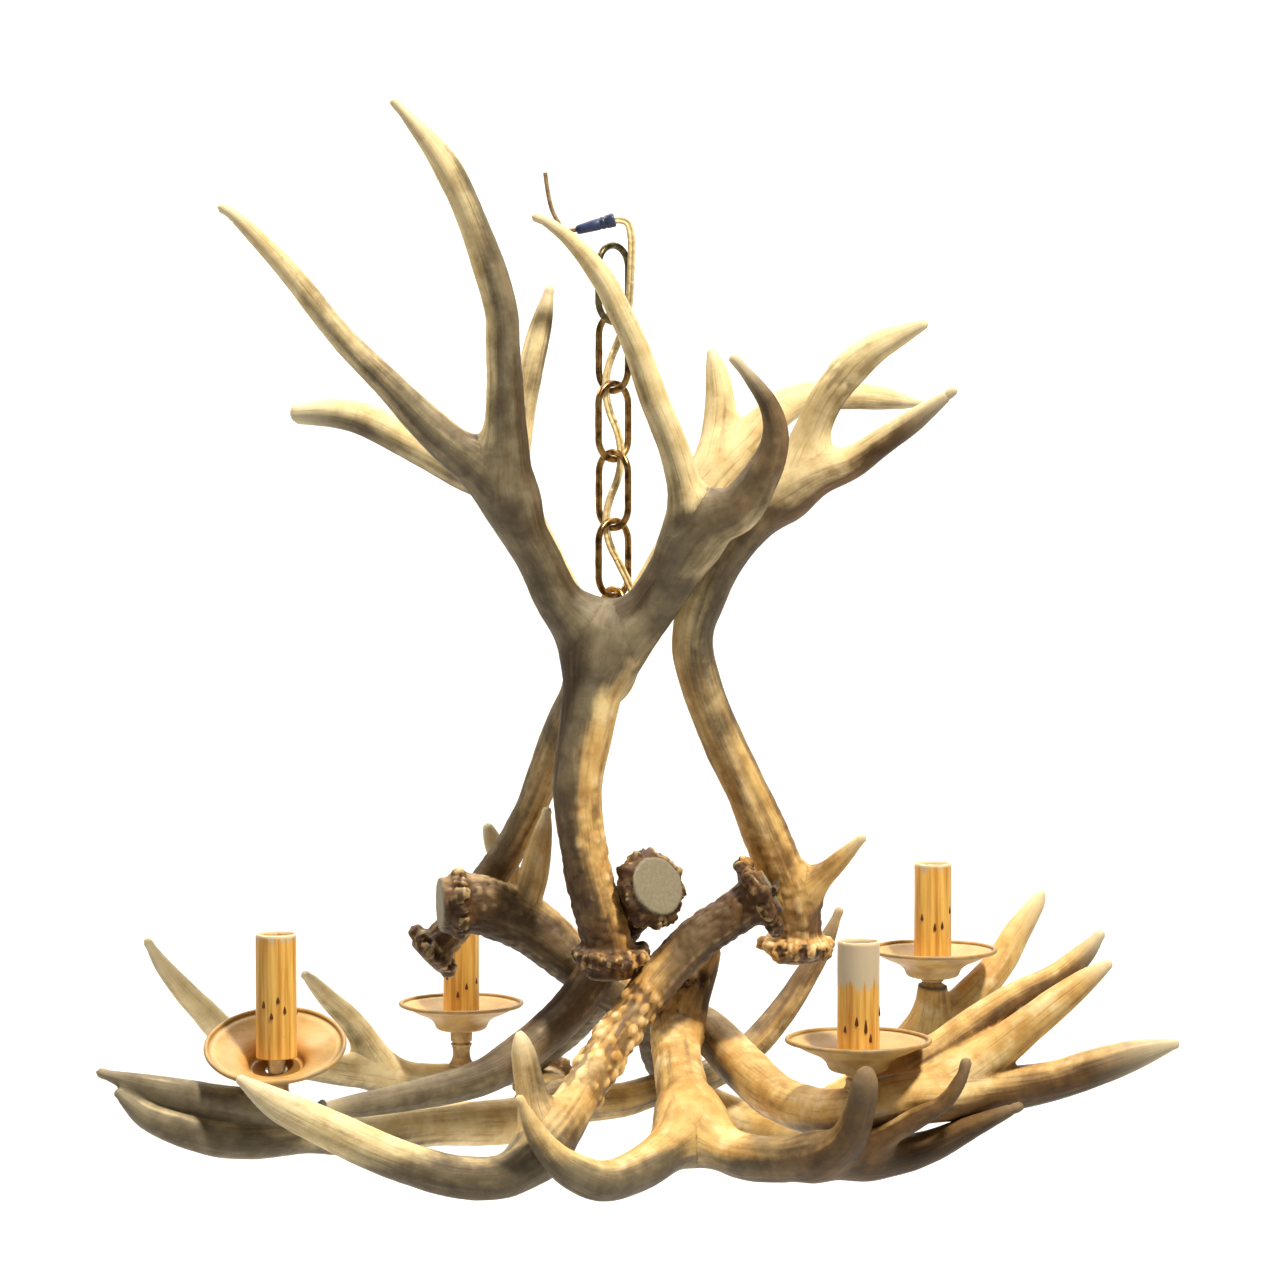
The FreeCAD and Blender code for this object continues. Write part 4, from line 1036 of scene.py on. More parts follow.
# %% Back and right upright antlers
UPRIGHT_BACK = {
    "beam": [(-111, 44, -218, 23), (-100, 45, -207, 22), (-83, 44, -186, 21), (-63, 40, -157, 20),
             (-54, 38, -141, 19), (-46, 34, -125, 19), (-38, 28, -104, 20), (-26, 15, -76, 23),
             (-14, 5, -56, 27), (-6, -1, -42, 29)],
    "left": [(-6, 1, -48, 25), (-20, 4, -20, 26), (-34, 6, 10, 25), (-50, 6, 40, 26), (-64, 7, 62, 25),
             (-85, 9, 72, 23), (-105, 13, 83, 22), (-126, 19, 94, 21), (-144, 24, 102, 19),
             (-162, 29, 106, 17), (-182, 34, 106, 13)],
    "tine_inner_left": [(-58, 6, 55, 19), (-55, 9, 84, 18), (-51, 13, 108, 16), (-47, 15, 128, 15),
                        (-43, 18, 146, 14), (-39, 20, 162, 11), (-35, 21, 180, 4)],
    "right": [(-2, 1, -46, 25), (14, 3, -18, 24), (29, 6, 10, 24), (43, 8, 36, 24), (55, 10, 60, 23),
              (79, 14, 86, 21), (97, 18, 106, 20), (115, 23, 115, 18), (141, 30, 116, 16),
              (159, 35, 115, 14), (174, 39, 113, 9), (183, 41, 112, 4)],
    "tine_inner_right": [(47, 8, 43, 20), (55, 11, 67, 19), (60, 13, 83, 18), (63, 16, 99, 18),
                         (64, 18, 114, 17), (62, 20, 130, 13), (59, 21, 142, 5)],
}
UPRIGHT_RIGHT = {
    "beam": [(109, 15, -215, 28), (109, 14, -207, 28), (108, 10, -186, 28), (98, 6, -158, 27),
             (90, 5, -138, 26), (80, 3, -115, 25), (67, 1, -88, 25), (56, -6, -61, 24),
             (49, -12, -37, 24), (48, -17, -20, 24), (53, -21, -1, 27), (62, -24, 19, 28),
             (76, -25, 38, 28), (95, -27, 55, 28), (116, -31, 68, 24), (138, -32, 77, 19),
             (154, -37, 88, 16), (173, -43, 101, 13), (189, -48, 113, 7), (195, -49, 118, 3)],
    "tine_upper": [(101, -26, 58, 23), (109, -29, 79, 22), (117, -32, 98, 20), (125, -36, 115, 20),
                   (137, -40, 130, 20), (150, -44, 141, 17), (165, -47, 149, 12), (178, -51, 155, 6)],
    "brow_tine": [(106, 8, -181, 17), (118, 4, -170, 15), (134, -1, -154, 11), (147, -6, -140, 5)],
}
print("back and right upright antlers:", len(UPRIGHT_BACK), "and", len(UPRIGHT_RIGHT), "limbs")

# %% [markdown]
# ## The low antlers
# Seven antlers lie round the foot, crossed and pinned near the middle, with their tines spread
# out to the rim. Some of them carry the lights. The burr ends of some are hidden, so their course
# there is a guess that stays clear of the others.

# %% Low antlers in front
LOW_RIDGED = {
    "beam": [(94, -18, -170, 27), (85, -19, -175, 27), (69, -22, -185, 25), (51, -25, -197, 25),
             (35, -30, -212, 25), (20, -38, -229, 25), (0, -59, -254, 25), (-16, -90, -276, 24),
             (-29, -118, -293, 25), (-42, -127, -305, 26), (-59, -130, -314, 24), (-85, -132, -313, 23),
             (-116, -131, -304, 22), (-151, -128, -289, 21), (-181, -125, -275, 17),
             (-202, -124, -261, 5)],
    "tine_near": [(-37, -122, -302, 19), (-41, -117, -282, 17), (-44, -113, -264, 16),
                  (-47, -112, -248, 13), (-49, -111, -238, 5)],
}
LOW_FRONT = {
    "beam": [(34, 13, -222, 23), (36, 12, -236, 25), (38, 4, -254, 28), (39, -23, -269, 28),
             (42, -55, -283, 30), (46, -83, -298, 32)],
    "brow_tine": [(41, -1, -253, 18), (49, 6, -237, 16), (56, 11, -222, 13), (61, 12, -210, 8)],
    "left": [(46, -78, -293, 27), (31, -101, -306, 25), (13, -119, -314, 23), (-4, -130, -316, 22),
             (-21, -138, -308, 20), (-33, -143, -296, 15), (-42, -146, -281, 10), (-48, -148, -267, 4)],
    "right": [(45, -74, -290, 27), (66, -100, -305, 25), (90, -127, -305, 25), (112, -146, -300, 23),
              (128, -161, -288, 20), (135, -172, -269, 16), (137, -177, -254, 14),
              (138, -179, -247, 6)],
    "tine_far": [(115, -143, -299, 19), (135, -140, -302, 21), (153, -136, -302, 21),
                 (175, -136, -296, 18), (196, -141, -285, 13), (217, -144, -275, 7),
                 (224, -144, -272, 4)],
    "tine_curved": [(138, -141, -299, 15), (151, -151, -287, 12), (166, -156, -277, 12),
                    (181, -157, -268, 9), (190, -158, -255, 7), (193, -158, -245, 3)],
}
print("low antlers in front:", len(LOW_RIDGED), "and", len(LOW_FRONT), "limbs")

# %% Low antlers at the left and right
LOW_LEFT = {
    "beam": [(28, -38, -165, 34), (20, -27, -171, 30), (10, -11, -186, 26), (-2, 8, -206, 24),
             (-12, 9, -227, 24), (-24, 2, -243, 24), (-41, -12, -257, 23), (-56, -25, -267, 23),
             (-75, -38, -276, 21), (-110, -57, -282, 17), (-145, -70, -286, 13), (-170, -77, -288, 5)],
}
LOW_RIGHT = {
    "beam": [(-100, 9, -182, 31), (-92, 11, -182, 32), (-76, 17, -183, 34), (-48, 29, -197, 33),
             (-23, 32, -217, 29), (6, 37, -239, 27), (32, 35, -251, 26), (56, 26, -258, 26),
             (75, -8, -272, 27), (95, -57, -283, 26), (115, -102, -283, 26), (135, -134, -277, 27),
             (158, -139, -270, 29), (191, -131, -268, 28), (218, -126, -266, 25), (243, -126, -262, 22),
             (268, -126, -254, 20), (292, -126, -246, 15), (311, -126, -241, 5)],
    "tine_upper": [(142, -132, -276, 24), (162, -121, -259, 21), (188, -112, -244, 22),
                   (221, -105, -223, 21), (246, -101, -210, 17), (263, -99, -196, 12),
                   (273, -98, -184, 5)],
    "tine_middle": [(173, -132, -269, 26), (205, -127, -250, 24), (227, -127, -233, 20),
                    (246, -126, -218, 17), (263, -125, -205, 12), (274, -125, -197, 5)],
    "brow_tine": [(-53, 25, -189, 17), (-46, 22, -168, 17), (-42, 18, -150, 15), (-39, 16, -137, 10),
                  (-37, 15, -126, 4)],
}
print("low antlers at the sides:", len(LOW_LEFT), "and", len(LOW_RIGHT), "limbs")

# %% Low antlers at the back
LOW_BACK_LEFT = {
    "beam": [(4, 69, -216, 25), (2, 72, -225, 25), (-12, 91, -250, 24), (-38, 129, -283, 22),
             (-65, 164, -306, 20), (-99, 195, -317, 19), (-135, 190, -315, 19), (-171, 165, -307, 19),
             (-210, 141, -294, 19), (-238, 124, -277, 18), (-252, 112, -260, 16), (-264, 104, -245, 14),
             (-275, 96, -229, 10), (-283, 90, -214, 4)],
    "tine_far": [(-144, 185, -313, 17), (-155, 177, -293, 17), (-166, 167, -275, 15),
                 (-179, 158, -260, 12), (-189, 150, -247, 8), (-193, 148, -243, 4)],
    "brow_tine": [(-13, 94, -243, 18), (-39, 83, -208, 16), (-58, 76, -177, 14), (-69, 71, -156, 13),
                  (-74, 68, -143, 7)],
}
LOW_BACK_RIGHT = {
    "beam": [(22, 55, -226, 26), (23, 58, -233, 26), (27, 70, -260, 26), (33, 89, -288, 25),
             (49, 99, -311, 24), (74, 109, -325, 24), (104, 119, -331, 24), (134, 127, -323, 24),
             (166, 132, -304, 26), (188, 135, -286, 26), (209, 140, -270, 24), (226, 148, -255, 22),
             (243, 158, -238, 20), (255, 163, -219, 17), (267, 164, -201, 11), (271, 164, -193, 4)],
    "candle_tine": [(192, 135, -287, 22), (197, 131, -267, 20), (199, 128, -247, 18)],
}
LOW_CROSS = {
    "beam": [(-44, 178, -320, 27), (-42, 168, -319, 28), (-36, 118, -314, 27), (-28, 77, -310, 27),
             (-31, 41, -307, 28)],
    "left": [(-24, 46, -305, 24), (-58, 9, -309, 26), (-103, -26, -305, 25), (-146, -54, -305, 24),
             (-170, -67, -302, 24), (-200, -78, -303, 22), (-226, -88, -299, 21), (-254, -92, -289, 16),
             (-267, -92, -280, 10), (-274, -92, -274, 4)],
    "tine_upper": [(-157, -60, -303, 20), (-188, -76, -287, 20), (-227, -87, -278, 17),
                   (-260, -88, -271, 13), (-285, -86, -264, 4)],
    "right": [(-37, 38, -307, 22), (-7, 45, -305, 21), (10, 52, -304, 20), (30, 65, -300, 19),
              (56, 79, -296, 19), (82, 93, -283, 18), (104, 106, -261, 17), (119, 114, -240, 15),
              (132, 120, -219, 11), (141, 123, -199, 4)],
}
print("low antlers at the back:", len(LOW_BACK_LEFT), len(LOW_BACK_RIGHT), len(LOW_CROSS), "limbs")

# %% [markdown]
# ## Grow them all
# Each antler takes its name from its CAD node and a seed of its own, so that no two share a
# pattern of grain.

# %% Ten antlers
ANTLERS = {
    "antler_upright_front": UPRIGHT_FRONT,
    "antler_upright_back": UPRIGHT_BACK,
    "antler_upright_right": UPRIGHT_RIGHT,
    "antler_low_ridged": LOW_RIDGED,
    "antler_low_front": LOW_FRONT,
    "antler_low_left": LOW_LEFT,
    "antler_low_right": LOW_RIGHT,
    "antler_low_back_left": LOW_BACK_LEFT,
    "antler_low_back_right": LOW_BACK_RIGHT,
    "antler_low_cross": LOW_CROSS,
}
# burr: (distance from the cut end, ring width, thickness, knobs, knob width)
BURRS = {
    "antler_upright_front": (12, 42, 10, 13, 8.0),
    "antler_upright_back": (7, 34, 9, 10, 8.5),
    "antler_upright_right": (9, 40, 10, 12, 9.0),
    "antler_low_ridged": (9, 46, 9, 11, 9.5),
    "antler_low_front": (6, 33, 7, 11, 6.0),
    "antler_low_left": (8, 43, 9, 12, 9.0),
    "antler_low_right": (11, 38, 9, 13, 7.0),
    "antler_low_back_left": (8, 38, 8, 12, 7.0),
    "antler_low_back_right": (8, 38, 8, 12, 7.0),
    "antler_low_cross": (8, 42, 8, 12, 7.0),
}
for index, antler_name in enumerate(ANTLERS):
    grow(antler_name, 100 * (index + 1))

# %% [markdown]
# ## Candle wax
# The sleeves are tubes dipped in honey-coloured wax to look like candles: streaked from top to bottom,
# paler and greyer towards the top, the front right sleeve most, with dark drips. Wax lets a little light
# in, so some subsurface light is added under a weak coat. The streaks are noise stretched upwards.

# %% Wax
def wax_material():
    material, tree, shader = new_material("candle_wax", Roughness=0.38, Coat_Weight=0.12,
                                          Coat_Roughness=0.25, Subsurface_Weight=0.08,
                                          Subsurface_Scale=0.004)
    place, up = place_vector(tree), attribute(tree, "up")
    streak = noise_node(tree, stretched(tree, place, (330, 330, 14)), 1.0, 3.0, 0.55)
    colour = mix_colour(tree, ramp(tree, streak, 0.3, 0.68), rgb(0.52, 0.235, 0.032), rgb(0.84, 0.52, 0.13))
    # paler and greyer towards the top, more on some sleeves than on others
    paler_top = plus(tree, up, times(tree, attribute(tree, "bleach"), 0.5))
    ragged = plus(tree, paler_top, times(tree, less(tree, streak, 0.5), 0.35))
    colour = mix_colour(tree, ramp(tree, ragged, 1.0, 1.05), colour, rgb(0.56, 0.47, 0.33))
    colour = mix_colour(tree, ramp(tree, up, 0.965, 0.99), colour, rgb(0.84, 0.70, 0.45))
    spots = use_group(tree, BLOTCH, {"Vector": place, "Scale": 210.0, "Amount": 0.16}).outputs["Mask"]
    colour = mix_colour(tree, times(tree, spots, 0.35), colour, rgb(0.40, 0.18, 0.03))
    colour = mix_colour(tree, attribute(tree, "drip"), colour, rgb(0.10, 0.028, 0.006))
    tree.links.new(colour, shader.inputs["Base Color"])
    set_bump(tree, shader, streak, 0.35, 0.0006)
    return material


WAX = wax_material()
print("wax:", len(WAX.node_tree.nodes), "nodes")

# %% [markdown]
# ## Pan paint
# The drip pans are sheet metal under ochre paint, brushed on, browner in the bowl, worn along the
# rim and chipped here and there. The pan's mesh stores where its rim, inside and bowl are, and
# the material lays one colour over another by them.

# %% Pan paint
def pan_material():
    material, tree, shader = new_material("pan_paint", Roughness=0.5)
    place = place_vector(tree)
    brush = noise_node(tree, stretched(tree, place, (60, 60, 900)), 1.0, 2.0, 0.5)
    colour, cloud = two_tone(tree, place, 75.0, rgb(0.33, 0.18, 0.045), rgb(0.54, 0.34, 0.11))
    chips = use_group(tree, BLOTCH, {"Vector": place, "Scale": 260.0, "Amount": 0.1}).outputs["Mask"]
    worn = times(tree, attribute(tree, "rim"), ramp(tree, cloud, 0.42, 0.6), clamp=True)
    for mask, share, over in ((attribute(tree, "inside"), 0.4, rgb(0.58, 0.39, 0.15)),
                              (attribute(tree, "bowl"), 0.85, rgb(0.50, 0.25, 0.06)),
                              (worn, 0.75, rgb(0.20, 0.14, 0.06)),
                              (chips, 0.55, rgb(0.30, 0.20, 0.09))):
        colour = mix_colour(tree, times(tree, mask, share), colour, over)
    tree.links.new(colour, shader.inputs["Base Color"])
    tree.links.new(plus(tree, times(tree, cloud, 0.3), 0.3), shader.inputs["Roughness"])
    set_bump(tree, shader, brush, 0.3, 0.0004)
    return material


PAN = pan_material()
print("pan paint:", len(PAN.node_tree.nodes), "nodes")

# %% [markdown]
# ## Metals and plastics
# The chain is aged brass, the hidden fittings are plated brass and zinc steel, and the rest is
# plastic or paint. They differ only in two tones, gloss and scale, so one recipe serves all the
# metals and one all the plastics. Aged metal is cloudy with fine scratches; plastic has a fine
# even grain.

# %% Metal and plastic recipes
def metal_material(name, dark, light, rough, scale=160.0):
    material, tree, shader = new_material(name, Metallic=1.0)
    place = place_vector(tree)
    scratch = noise_node(tree, stretched(tree, place, (1500, 1500, 160)), 1.0, 2.0, 0.5)
    colour, cloud = two_tone(tree, place, scale, dark, light, edge=0.32)
    tree.links.new(colour, shader.inputs["Base Color"])
    spread = times(tree, plus(tree, cloud, scratch), 0.22)
    tree.links.new(plus(tree, spread, rough - 0.22), shader.inputs["Roughness"])
    set_bump(tree, shader, scratch, 0.2, 0.0002)
    return material


def plastic_material(name, dark, light, rough, scale=120.0):
    material, tree, shader = new_material(name)
    place = place_vector(tree)
    colour, cloud = two_tone(tree, place, scale, dark, light)
    tree.links.new(colour, shader.inputs["Base Color"])
    tree.links.new(plus(tree, times(tree, cloud, 0.2), rough - 0.1), shader.inputs["Roughness"])
    set_bump(tree, shader, noise_node(tree, place, 2600.0, 2.0, 0.5), 0.2, 0.0001)
    return material


print("metal and plastic recipes ready")

# %% The metals and plastics used
BRASS = metal_material("aged_brass", rgb(0.085, 0.045, 0.018), rgb(0.46, 0.29, 0.11), 0.33)
DARK_BRASS = metal_material("dark_brass", rgb(0.06, 0.048, 0.028), rgb(0.24, 0.20, 0.11), 0.42)
STEM_PAINT = plastic_material("stem_paint", rgb(0.36, 0.22, 0.085), rgb(0.66, 0.46, 0.20), 0.5, 200.0)
SHELL = metal_material("screw_shell_brass", rgb(0.52, 0.38, 0.17), rgb(0.83, 0.68, 0.38), 0.28)
STEEL = metal_material("zinc_steel", rgb(0.34, 0.33, 0.30), rgb(0.62, 0.61, 0.57), 0.35)
HOLDER = plastic_material("lampholder_plastic", rgb(0.50, 0.49, 0.45), rgb(0.68, 0.66, 0.60), 0.4)
FLEX = plastic_material("clear_gold_flex", rgb(0.55, 0.40, 0.16), rgb(0.86, 0.74, 0.46), 0.3, 300.0)
CONNECTOR = plastic_material("connector_blue", rgb(0.008, 0.014, 0.05), rgb(0.03, 0.05, 0.13), 0.42)
TAIL = plastic_material("tail_brown", rgb(0.13, 0.075, 0.035), rgb(0.34, 0.24, 0.13), 0.5, 300.0)
print("materials:", len(bpy.data.materials))

# %% [markdown]
# ## Candle sleeves
# A sleeve is a card or plastic tube that slips over the lampholder and lifts off it, so it rides
# on a body of its own. It is turned from a profile with a fine row of points up its wall. The
# wall is then rippled, the top edge made ragged as poured wax is, and teardrops are set on it.

# %% Sizes and drips of the sleeves
SLEEVE_OUT, SLEEVE_BORE = 23.4, 20.8
PLACES = ("front_right", "front_left", "rear_right", "rear_left")
# drips on each sleeve: (degrees round, height up the sleeve, length), heights and lengths in mm
DRIPS = {
    "front_right": [(262, 26, 5.5), (302, 17, 5.0), (287, 22, 8.0), (345, 30, 6.5), (228, 22, 4.5),
                    (60, 25, 5.0), (120, 30, 6.0)],
    "front_left": [(238, 30, 4.5), (262, 24, 4.0), (281, 33, 4.0), (300, 27, 4.5), (20, 24, 5.0),
                   (85, 31, 5.0), (150, 26, 5.5)],
    "rear_right": [(272, 30, 5.0), (296, 31, 5.0), (230, 36, 4.5), (330, 40, 5.0), (70, 30, 5.0),
                   (140, 26, 6.0)],
    "rear_left": [(262, 22, 4.5), (290, 27, 4.5), (222, 33, 4.0), (330, 30, 4.5), (60, 24, 5.0)],
}
DROP_WIDTH = 2.3
# how much paler and greyer each sleeve turns towards its top
PALE_TOPS = {"front_right": 0.72, "front_left": 0.12, "rear_right": 0.1, "rear_left": 0.1}


def centre_of(name):
    """The middle of a CAD node in x and y, and its foot and top, in metres."""
    low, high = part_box(name)
    return (low[0] + high[0]) / 2, (low[1] + high[1]) / 2, low[2], high[2]


print("drips:", {place: len(drips) for place, drips in DRIPS.items()})

# %% Sleeves
SLEEVE_SIDES, SLEEVE_ROWS = 96, 90
TOP_RAGGED = 3.0      # height of the ragged edge at a sleeve's top


def teardrop(degrees, height, length, radius):
    """A hanging drop on the sleeve's wall, round below and drawn out above."""
    t = np.linspace(0, 1, 13)
    width = DROP_WIDTH / 2 * np.sqrt(np.sin(math.pi * t ** 0.55)) * (1 - 0.35 * t)
    line = np.column_stack([np.full(13, radius), 0 * t, height - DROP_WIDTH / 2 + t * length])
    verts, faces = tube(line, np.maximum(width, 0.05), 12)
    verts[:, 0] = radius + (verts[:, 0] - radius) * 0.8
    return verts @ spin(degrees).T, faces


def sleeve_wall(tall, outer, inner):
    """The sleeve in section, up its outside and down its inside."""
    rows = np.linspace(0.6, tall - 0.9, SLEEVE_ROWS)
    return np.concatenate([
        [(inner + 0.2, 0.0), (outer - 0.35, 0.0), (outer, 0.25)],
        np.column_stack([np.full(SLEEVE_ROWS, outer), rows]),
        [(outer - 0.1, tall - 0.35), (outer - 0.5, tall), (inner + 0.25, tall), (inner, tall - 0.3)],
        np.column_stack([np.full(10, inner), np.linspace(tall - 3, 0.5, 10)])])


def make_sleeve(place, seed):
    x, y, low, high = centre_of("sleeve_" + place)
    tall = (high - low) / MM
    outer, inner = SLEEVE_OUT / 2, SLEEVE_BORE / 2
    verts, faces = turned(sleeve_wall(tall, outer, inner), SLEEVE_SIDES)
    radial = np.hypot(verts[:, 0], verts[:, 1])
    around = np.arctan2(verts[:, 1], verts[:, 0])
    skin = np.column_stack([np.cos(around) * 9, np.sin(around) * 9, verts[:, 2] / 9])
    ripple = noise(skin / (1.6, 1.6, 2.2), seed) * 0.10 + noise(skin / (4, 4, 1.5), seed + 1) * 0.10
    from_top = verts[:, 2] - tall + TOP_RAGGED
    ragged = np.clip(from_top / TOP_RAGGED, 0, 1) * noise(skin / (2, 2, 9), seed + 2) * 0.35
    grown = np.where(radial > outer - 0.2, ripple - 0.2, 0)
    verts[:, :2] *= ((radial + grown) / radial)[:, None]
    verts[:, 2] += np.where(verts[:, 2] > tall - TOP_RAGGED, np.minimum(ragged, 0) - 0.05, 0)
    up, plain = verts[:, 2] / tall, len(verts)
    beads = [teardrop(degrees, height, length, outer - 0.35) for degrees, height, length in DRIPS[place]]
    verts, faces = joined((verts, faces), *beads)
    drip = (np.arange(len(verts)) >= plain).astype(float)
    up = np.concatenate([up, np.full(len(verts) - plain, 0.3)])
    piece = new_piece("candle_" + place, verts * MM + (x, y, low), faces, WAX, "sleeve_" + place,
                      ["sleeve_" + place], "candle_sleeve")
    point_values(piece, up=up, drip=drip, bleach=np.full(len(up), PALE_TOPS[place]))


for index, place in enumerate(PLACES):
    make_sleeve(place, 2000 + 10 * index)
print("sleeves:", len(PLACES))

# %% [markdown]
# ## Drip pans
# Each pan is a dish spun from sheet with its rim rolled over. Its section is drawn once: a smooth
# line for the underside, the same line moved inwards by the sheet's thickness, and a round lip
# that joins them. One pan leans towards the viewer, as its light does in the photograph.

# %% The pan in section
PAN_RIM, PAN_DEPTH, PAN_SHEET, PAN_HOLE, PAN_LIP, PAN_FOOT = 80.0, 17.0, 1.4, 12.6, 2.6, 26.0
UNDERSIDE = [(PAN_FOOT / 2, 0.0), (PAN_FOOT / 2 + 3, 1.4), (18.0, 5.4), (22.0, 8.6), (30.0, 12.0)]


def pan_profile():
    """The dish in section: underside outward, rolled lip, then the inside back to the hole."""
    rim = PAN_RIM / 2 - PAN_LIP / 2
    under = np.array(UNDERSIDE + [(rim, PAN_DEPTH)])
    line = smooth_line(under, [5] * (len(under) - 1))[:-1]
    way = directions(line)
    inside = line + np.column_stack([-way[:, 1], way[:, 0]]) * PAN_SHEET
    inside[0] = (PAN_FOOT / 2, PAN_SHEET)
    turns = np.radians(np.linspace(-95, 215, 16))
    lip = np.column_stack([rim + PAN_LIP / 2 * np.cos(turns), PAN_DEPTH + PAN_LIP / 2 * np.sin(turns)])
    hole = PAN_HOLE / 2
    return np.vstack([[(hole, 0.0)], line[:-1], lip, inside[:-1][::-1], [(hole, PAN_SHEET)]])


print("the pan's section has", len(pan_profile()), "points")

# %% Pans
STEM_WIDTH = 14.0
LEAN = {"front_left": 23.0}          # degrees that the loose pan leans towards the viewer
PAN_SIDES, RIM_WAVE = 120, 0.35


def make_pan(place, seed):
    x, y, _, high = centre_of("stem_" + place)
    angle = math.radians(LEAN.get(place, 0.0))
    level = high + STEM_WIDTH / 2 * math.sin(angle) * MM
    verts, faces = turned(pan_profile(), PAN_SIDES)
    radial = np.hypot(verts[:, 0], verts[:, 1])
    around = np.arctan2(verts[:, 1], verts[:, 0])
    wave = noise(np.column_stack([np.cos(around) * 2, np.sin(around) * 2, radial / 30]), seed)
    verts[:, 2] += np.where(radial > PAN_FOOT / 2 + 2, wave * RIM_WAVE * (radial / 40) ** 2, 0)
    rings = len(verts) // PAN_SIDES
    inside = (np.repeat(np.arange(rings), PAN_SIDES) / rings > 0.6).astype(float)
    lean = np.array([[1, 0, 0], [0, math.cos(angle), -math.sin(angle)],
                     [0, math.sin(angle), math.cos(angle)]])
    piece = new_piece("pan_" + place, (verts @ lean.T) * MM + (x, y, level), faces, PAN, "antler_frame",
                      ["drip_pan_" + place], "pan_paint")
    point_values(piece, rim=np.clip((radial - PAN_RIM / 2 + 3.2) / 2.0, 0, 1), inside=inside,
                 bowl=inside * np.clip((30 - radial) / 14, 0, 1))


for index, place in enumerate(PLACES):
    make_pan(place, 2100 + 10 * index)
print("pans:", len(PLACES), "of", PAN_RIM, "mm")

# %% [markdown]
# ## Stems
# The stems were turned on a lathe from bar, with a collar at the foot and a groove near the top.
# The section is drawn with sharp corners, which are then cut twice, so that every edge catches
# the light as a real one does. A short stem has no room for the waist and goes without.

# %% Stems
STEM_BORE, STEM_SIDES, SHORT_STEM = 10.2, 72, 16


def make_stem(place):
    x, y, low, high = centre_of("stem_" + place)
    tall, out, bore = (high - low) / MM, STEM_WIDTH / 2, STEM_BORE / 2
    groove = tall * 0.62
    wall = [(bore, 0.0), (out + 0.9, 0.0), (out + 0.9, 1.4), (out + 0.2, 2.2), (out - 0.3, 3.2)]
    if tall > SHORT_STEM:
        wall += [(out - 1.2, 5.0), (out - 1.6, tall * 0.4), (out - 0.9, groove - 1.5)]
    wall += [(out - 0.1, groove - 0.6), (out - 0.1, groove), (out - 1.3, groove + 0.5),
             (out - 1.3, groove + 1.2), (out, groove + 1.7), (out, tall - 0.9), (out - 0.5, tall),
             (bore, tall)]
    verts, faces = turned(rounded(wall, 2), STEM_SIDES)
    new_piece("turned_stem_" + place, verts * MM + (x, y, low), faces, STEM_PAINT, "antler_frame",
              ["stem_" + place], "stem_brass")


for place in PLACES:
    make_stem(place)
print("stems:", len(PLACES))

# %% [markdown]
# ## The fittings inside
# Under each sleeve is a lampholder with its screw shell and contact, and nipples, nuts and pins
# hold the rest together. They are plain parts that the CAD already shows well, so they stay as
# they are and are only given a material.

# %% Materials for the CAD's own parts
def coat(name, material):
    """Gives a CAD node that stays visible a procedural material."""
    for held in NODES[name].material_slots:
        held.material = material


for place in PLACES:
    for fitting, material in (("lampholder_", HOLDER), ("screw_shell_", SHELL), ("contact_", SHELL)):
        coat(fitting + place, material)
for fitting in ("nipples", "lock_nuts", "dowels"):
    coat(fitting, STEEL)
coat("screw_eye", BRASS)
print("fittings coated:", 3 * len(PLACES) + 4)

# %% [markdown]
# ## Chain
# Each link is bent from round wire and welded on one side, where it is a little thicker. It is
# swept along a stadium. The real links lie a quarter turn from each other, so each one is turned
# the other way from the last. The top link is darker than the others.

# %% A link's centre line
LINK_WIRE, LINK_LENGTH, LINK_WIDTH, LINK_COUNT = 4.0, 48.0, 28.0, 5


def link_line(count=72):
    """A stadium's centre line, upright in the XZ plane."""
    bend = (LINK_WIDTH - LINK_WIRE) / 2
    straight = LINK_LENGTH / 2 - LINK_WIRE / 2 - bend
    arc = np.linspace(0, math.pi, count // 2 - 6)
    top = np.column_stack([bend * np.cos(arc), 0 * arc, straight + bend * np.sin(arc)])
    run = np.linspace(straight, -straight, 8)[1:-1]
    left = np.column_stack([np.full(6, -bend), 0 * run, run])
    return np.vstack([top, left, top * (-1, 1, -1), left * (-1, 1, -1)])


print("points along a link:", len(link_line()))

# %% Links
WELD_RISE, LINK_SIDES, LINK_TURN = 0.18, 20, 45

for index in range(LINK_COUNT):
    name = "chain_link_%d" % index
    x, y, low, high = centre_of(name)
    line = link_line()
    weld = WELD_RISE * np.exp(-(((line[:, 2] / 2.2) ** 2) + ((line[:, 0] + 12) / 3) ** 2))
    verts, faces = tube(line, LINK_WIRE / 2 - 0.02 + weld, LINK_SIDES, closed=True)
    verts = (verts @ spin(LINK_TURN if index % 2 == 0 else -LINK_TURN).T) * MM + (x, y, (low + high) / 2)
    new_piece("link_%d" % index, verts, faces, DARK_BRASS if index == 0 else BRASS, name, [name],
              "chain_brass")
print("links:", LINK_COUNT)

# %% [markdown]
# ## Flex
# The flex is a flat twin cable that weaves through the links. It bends when the chain swings, so one rigid
# piece would cut through the links. It is made in stretches instead, cut at the links' middles. The top
# stretch rides on the top link, and the others ride on no body. Its route is a spline that swings from side
# to side between the links' middles.

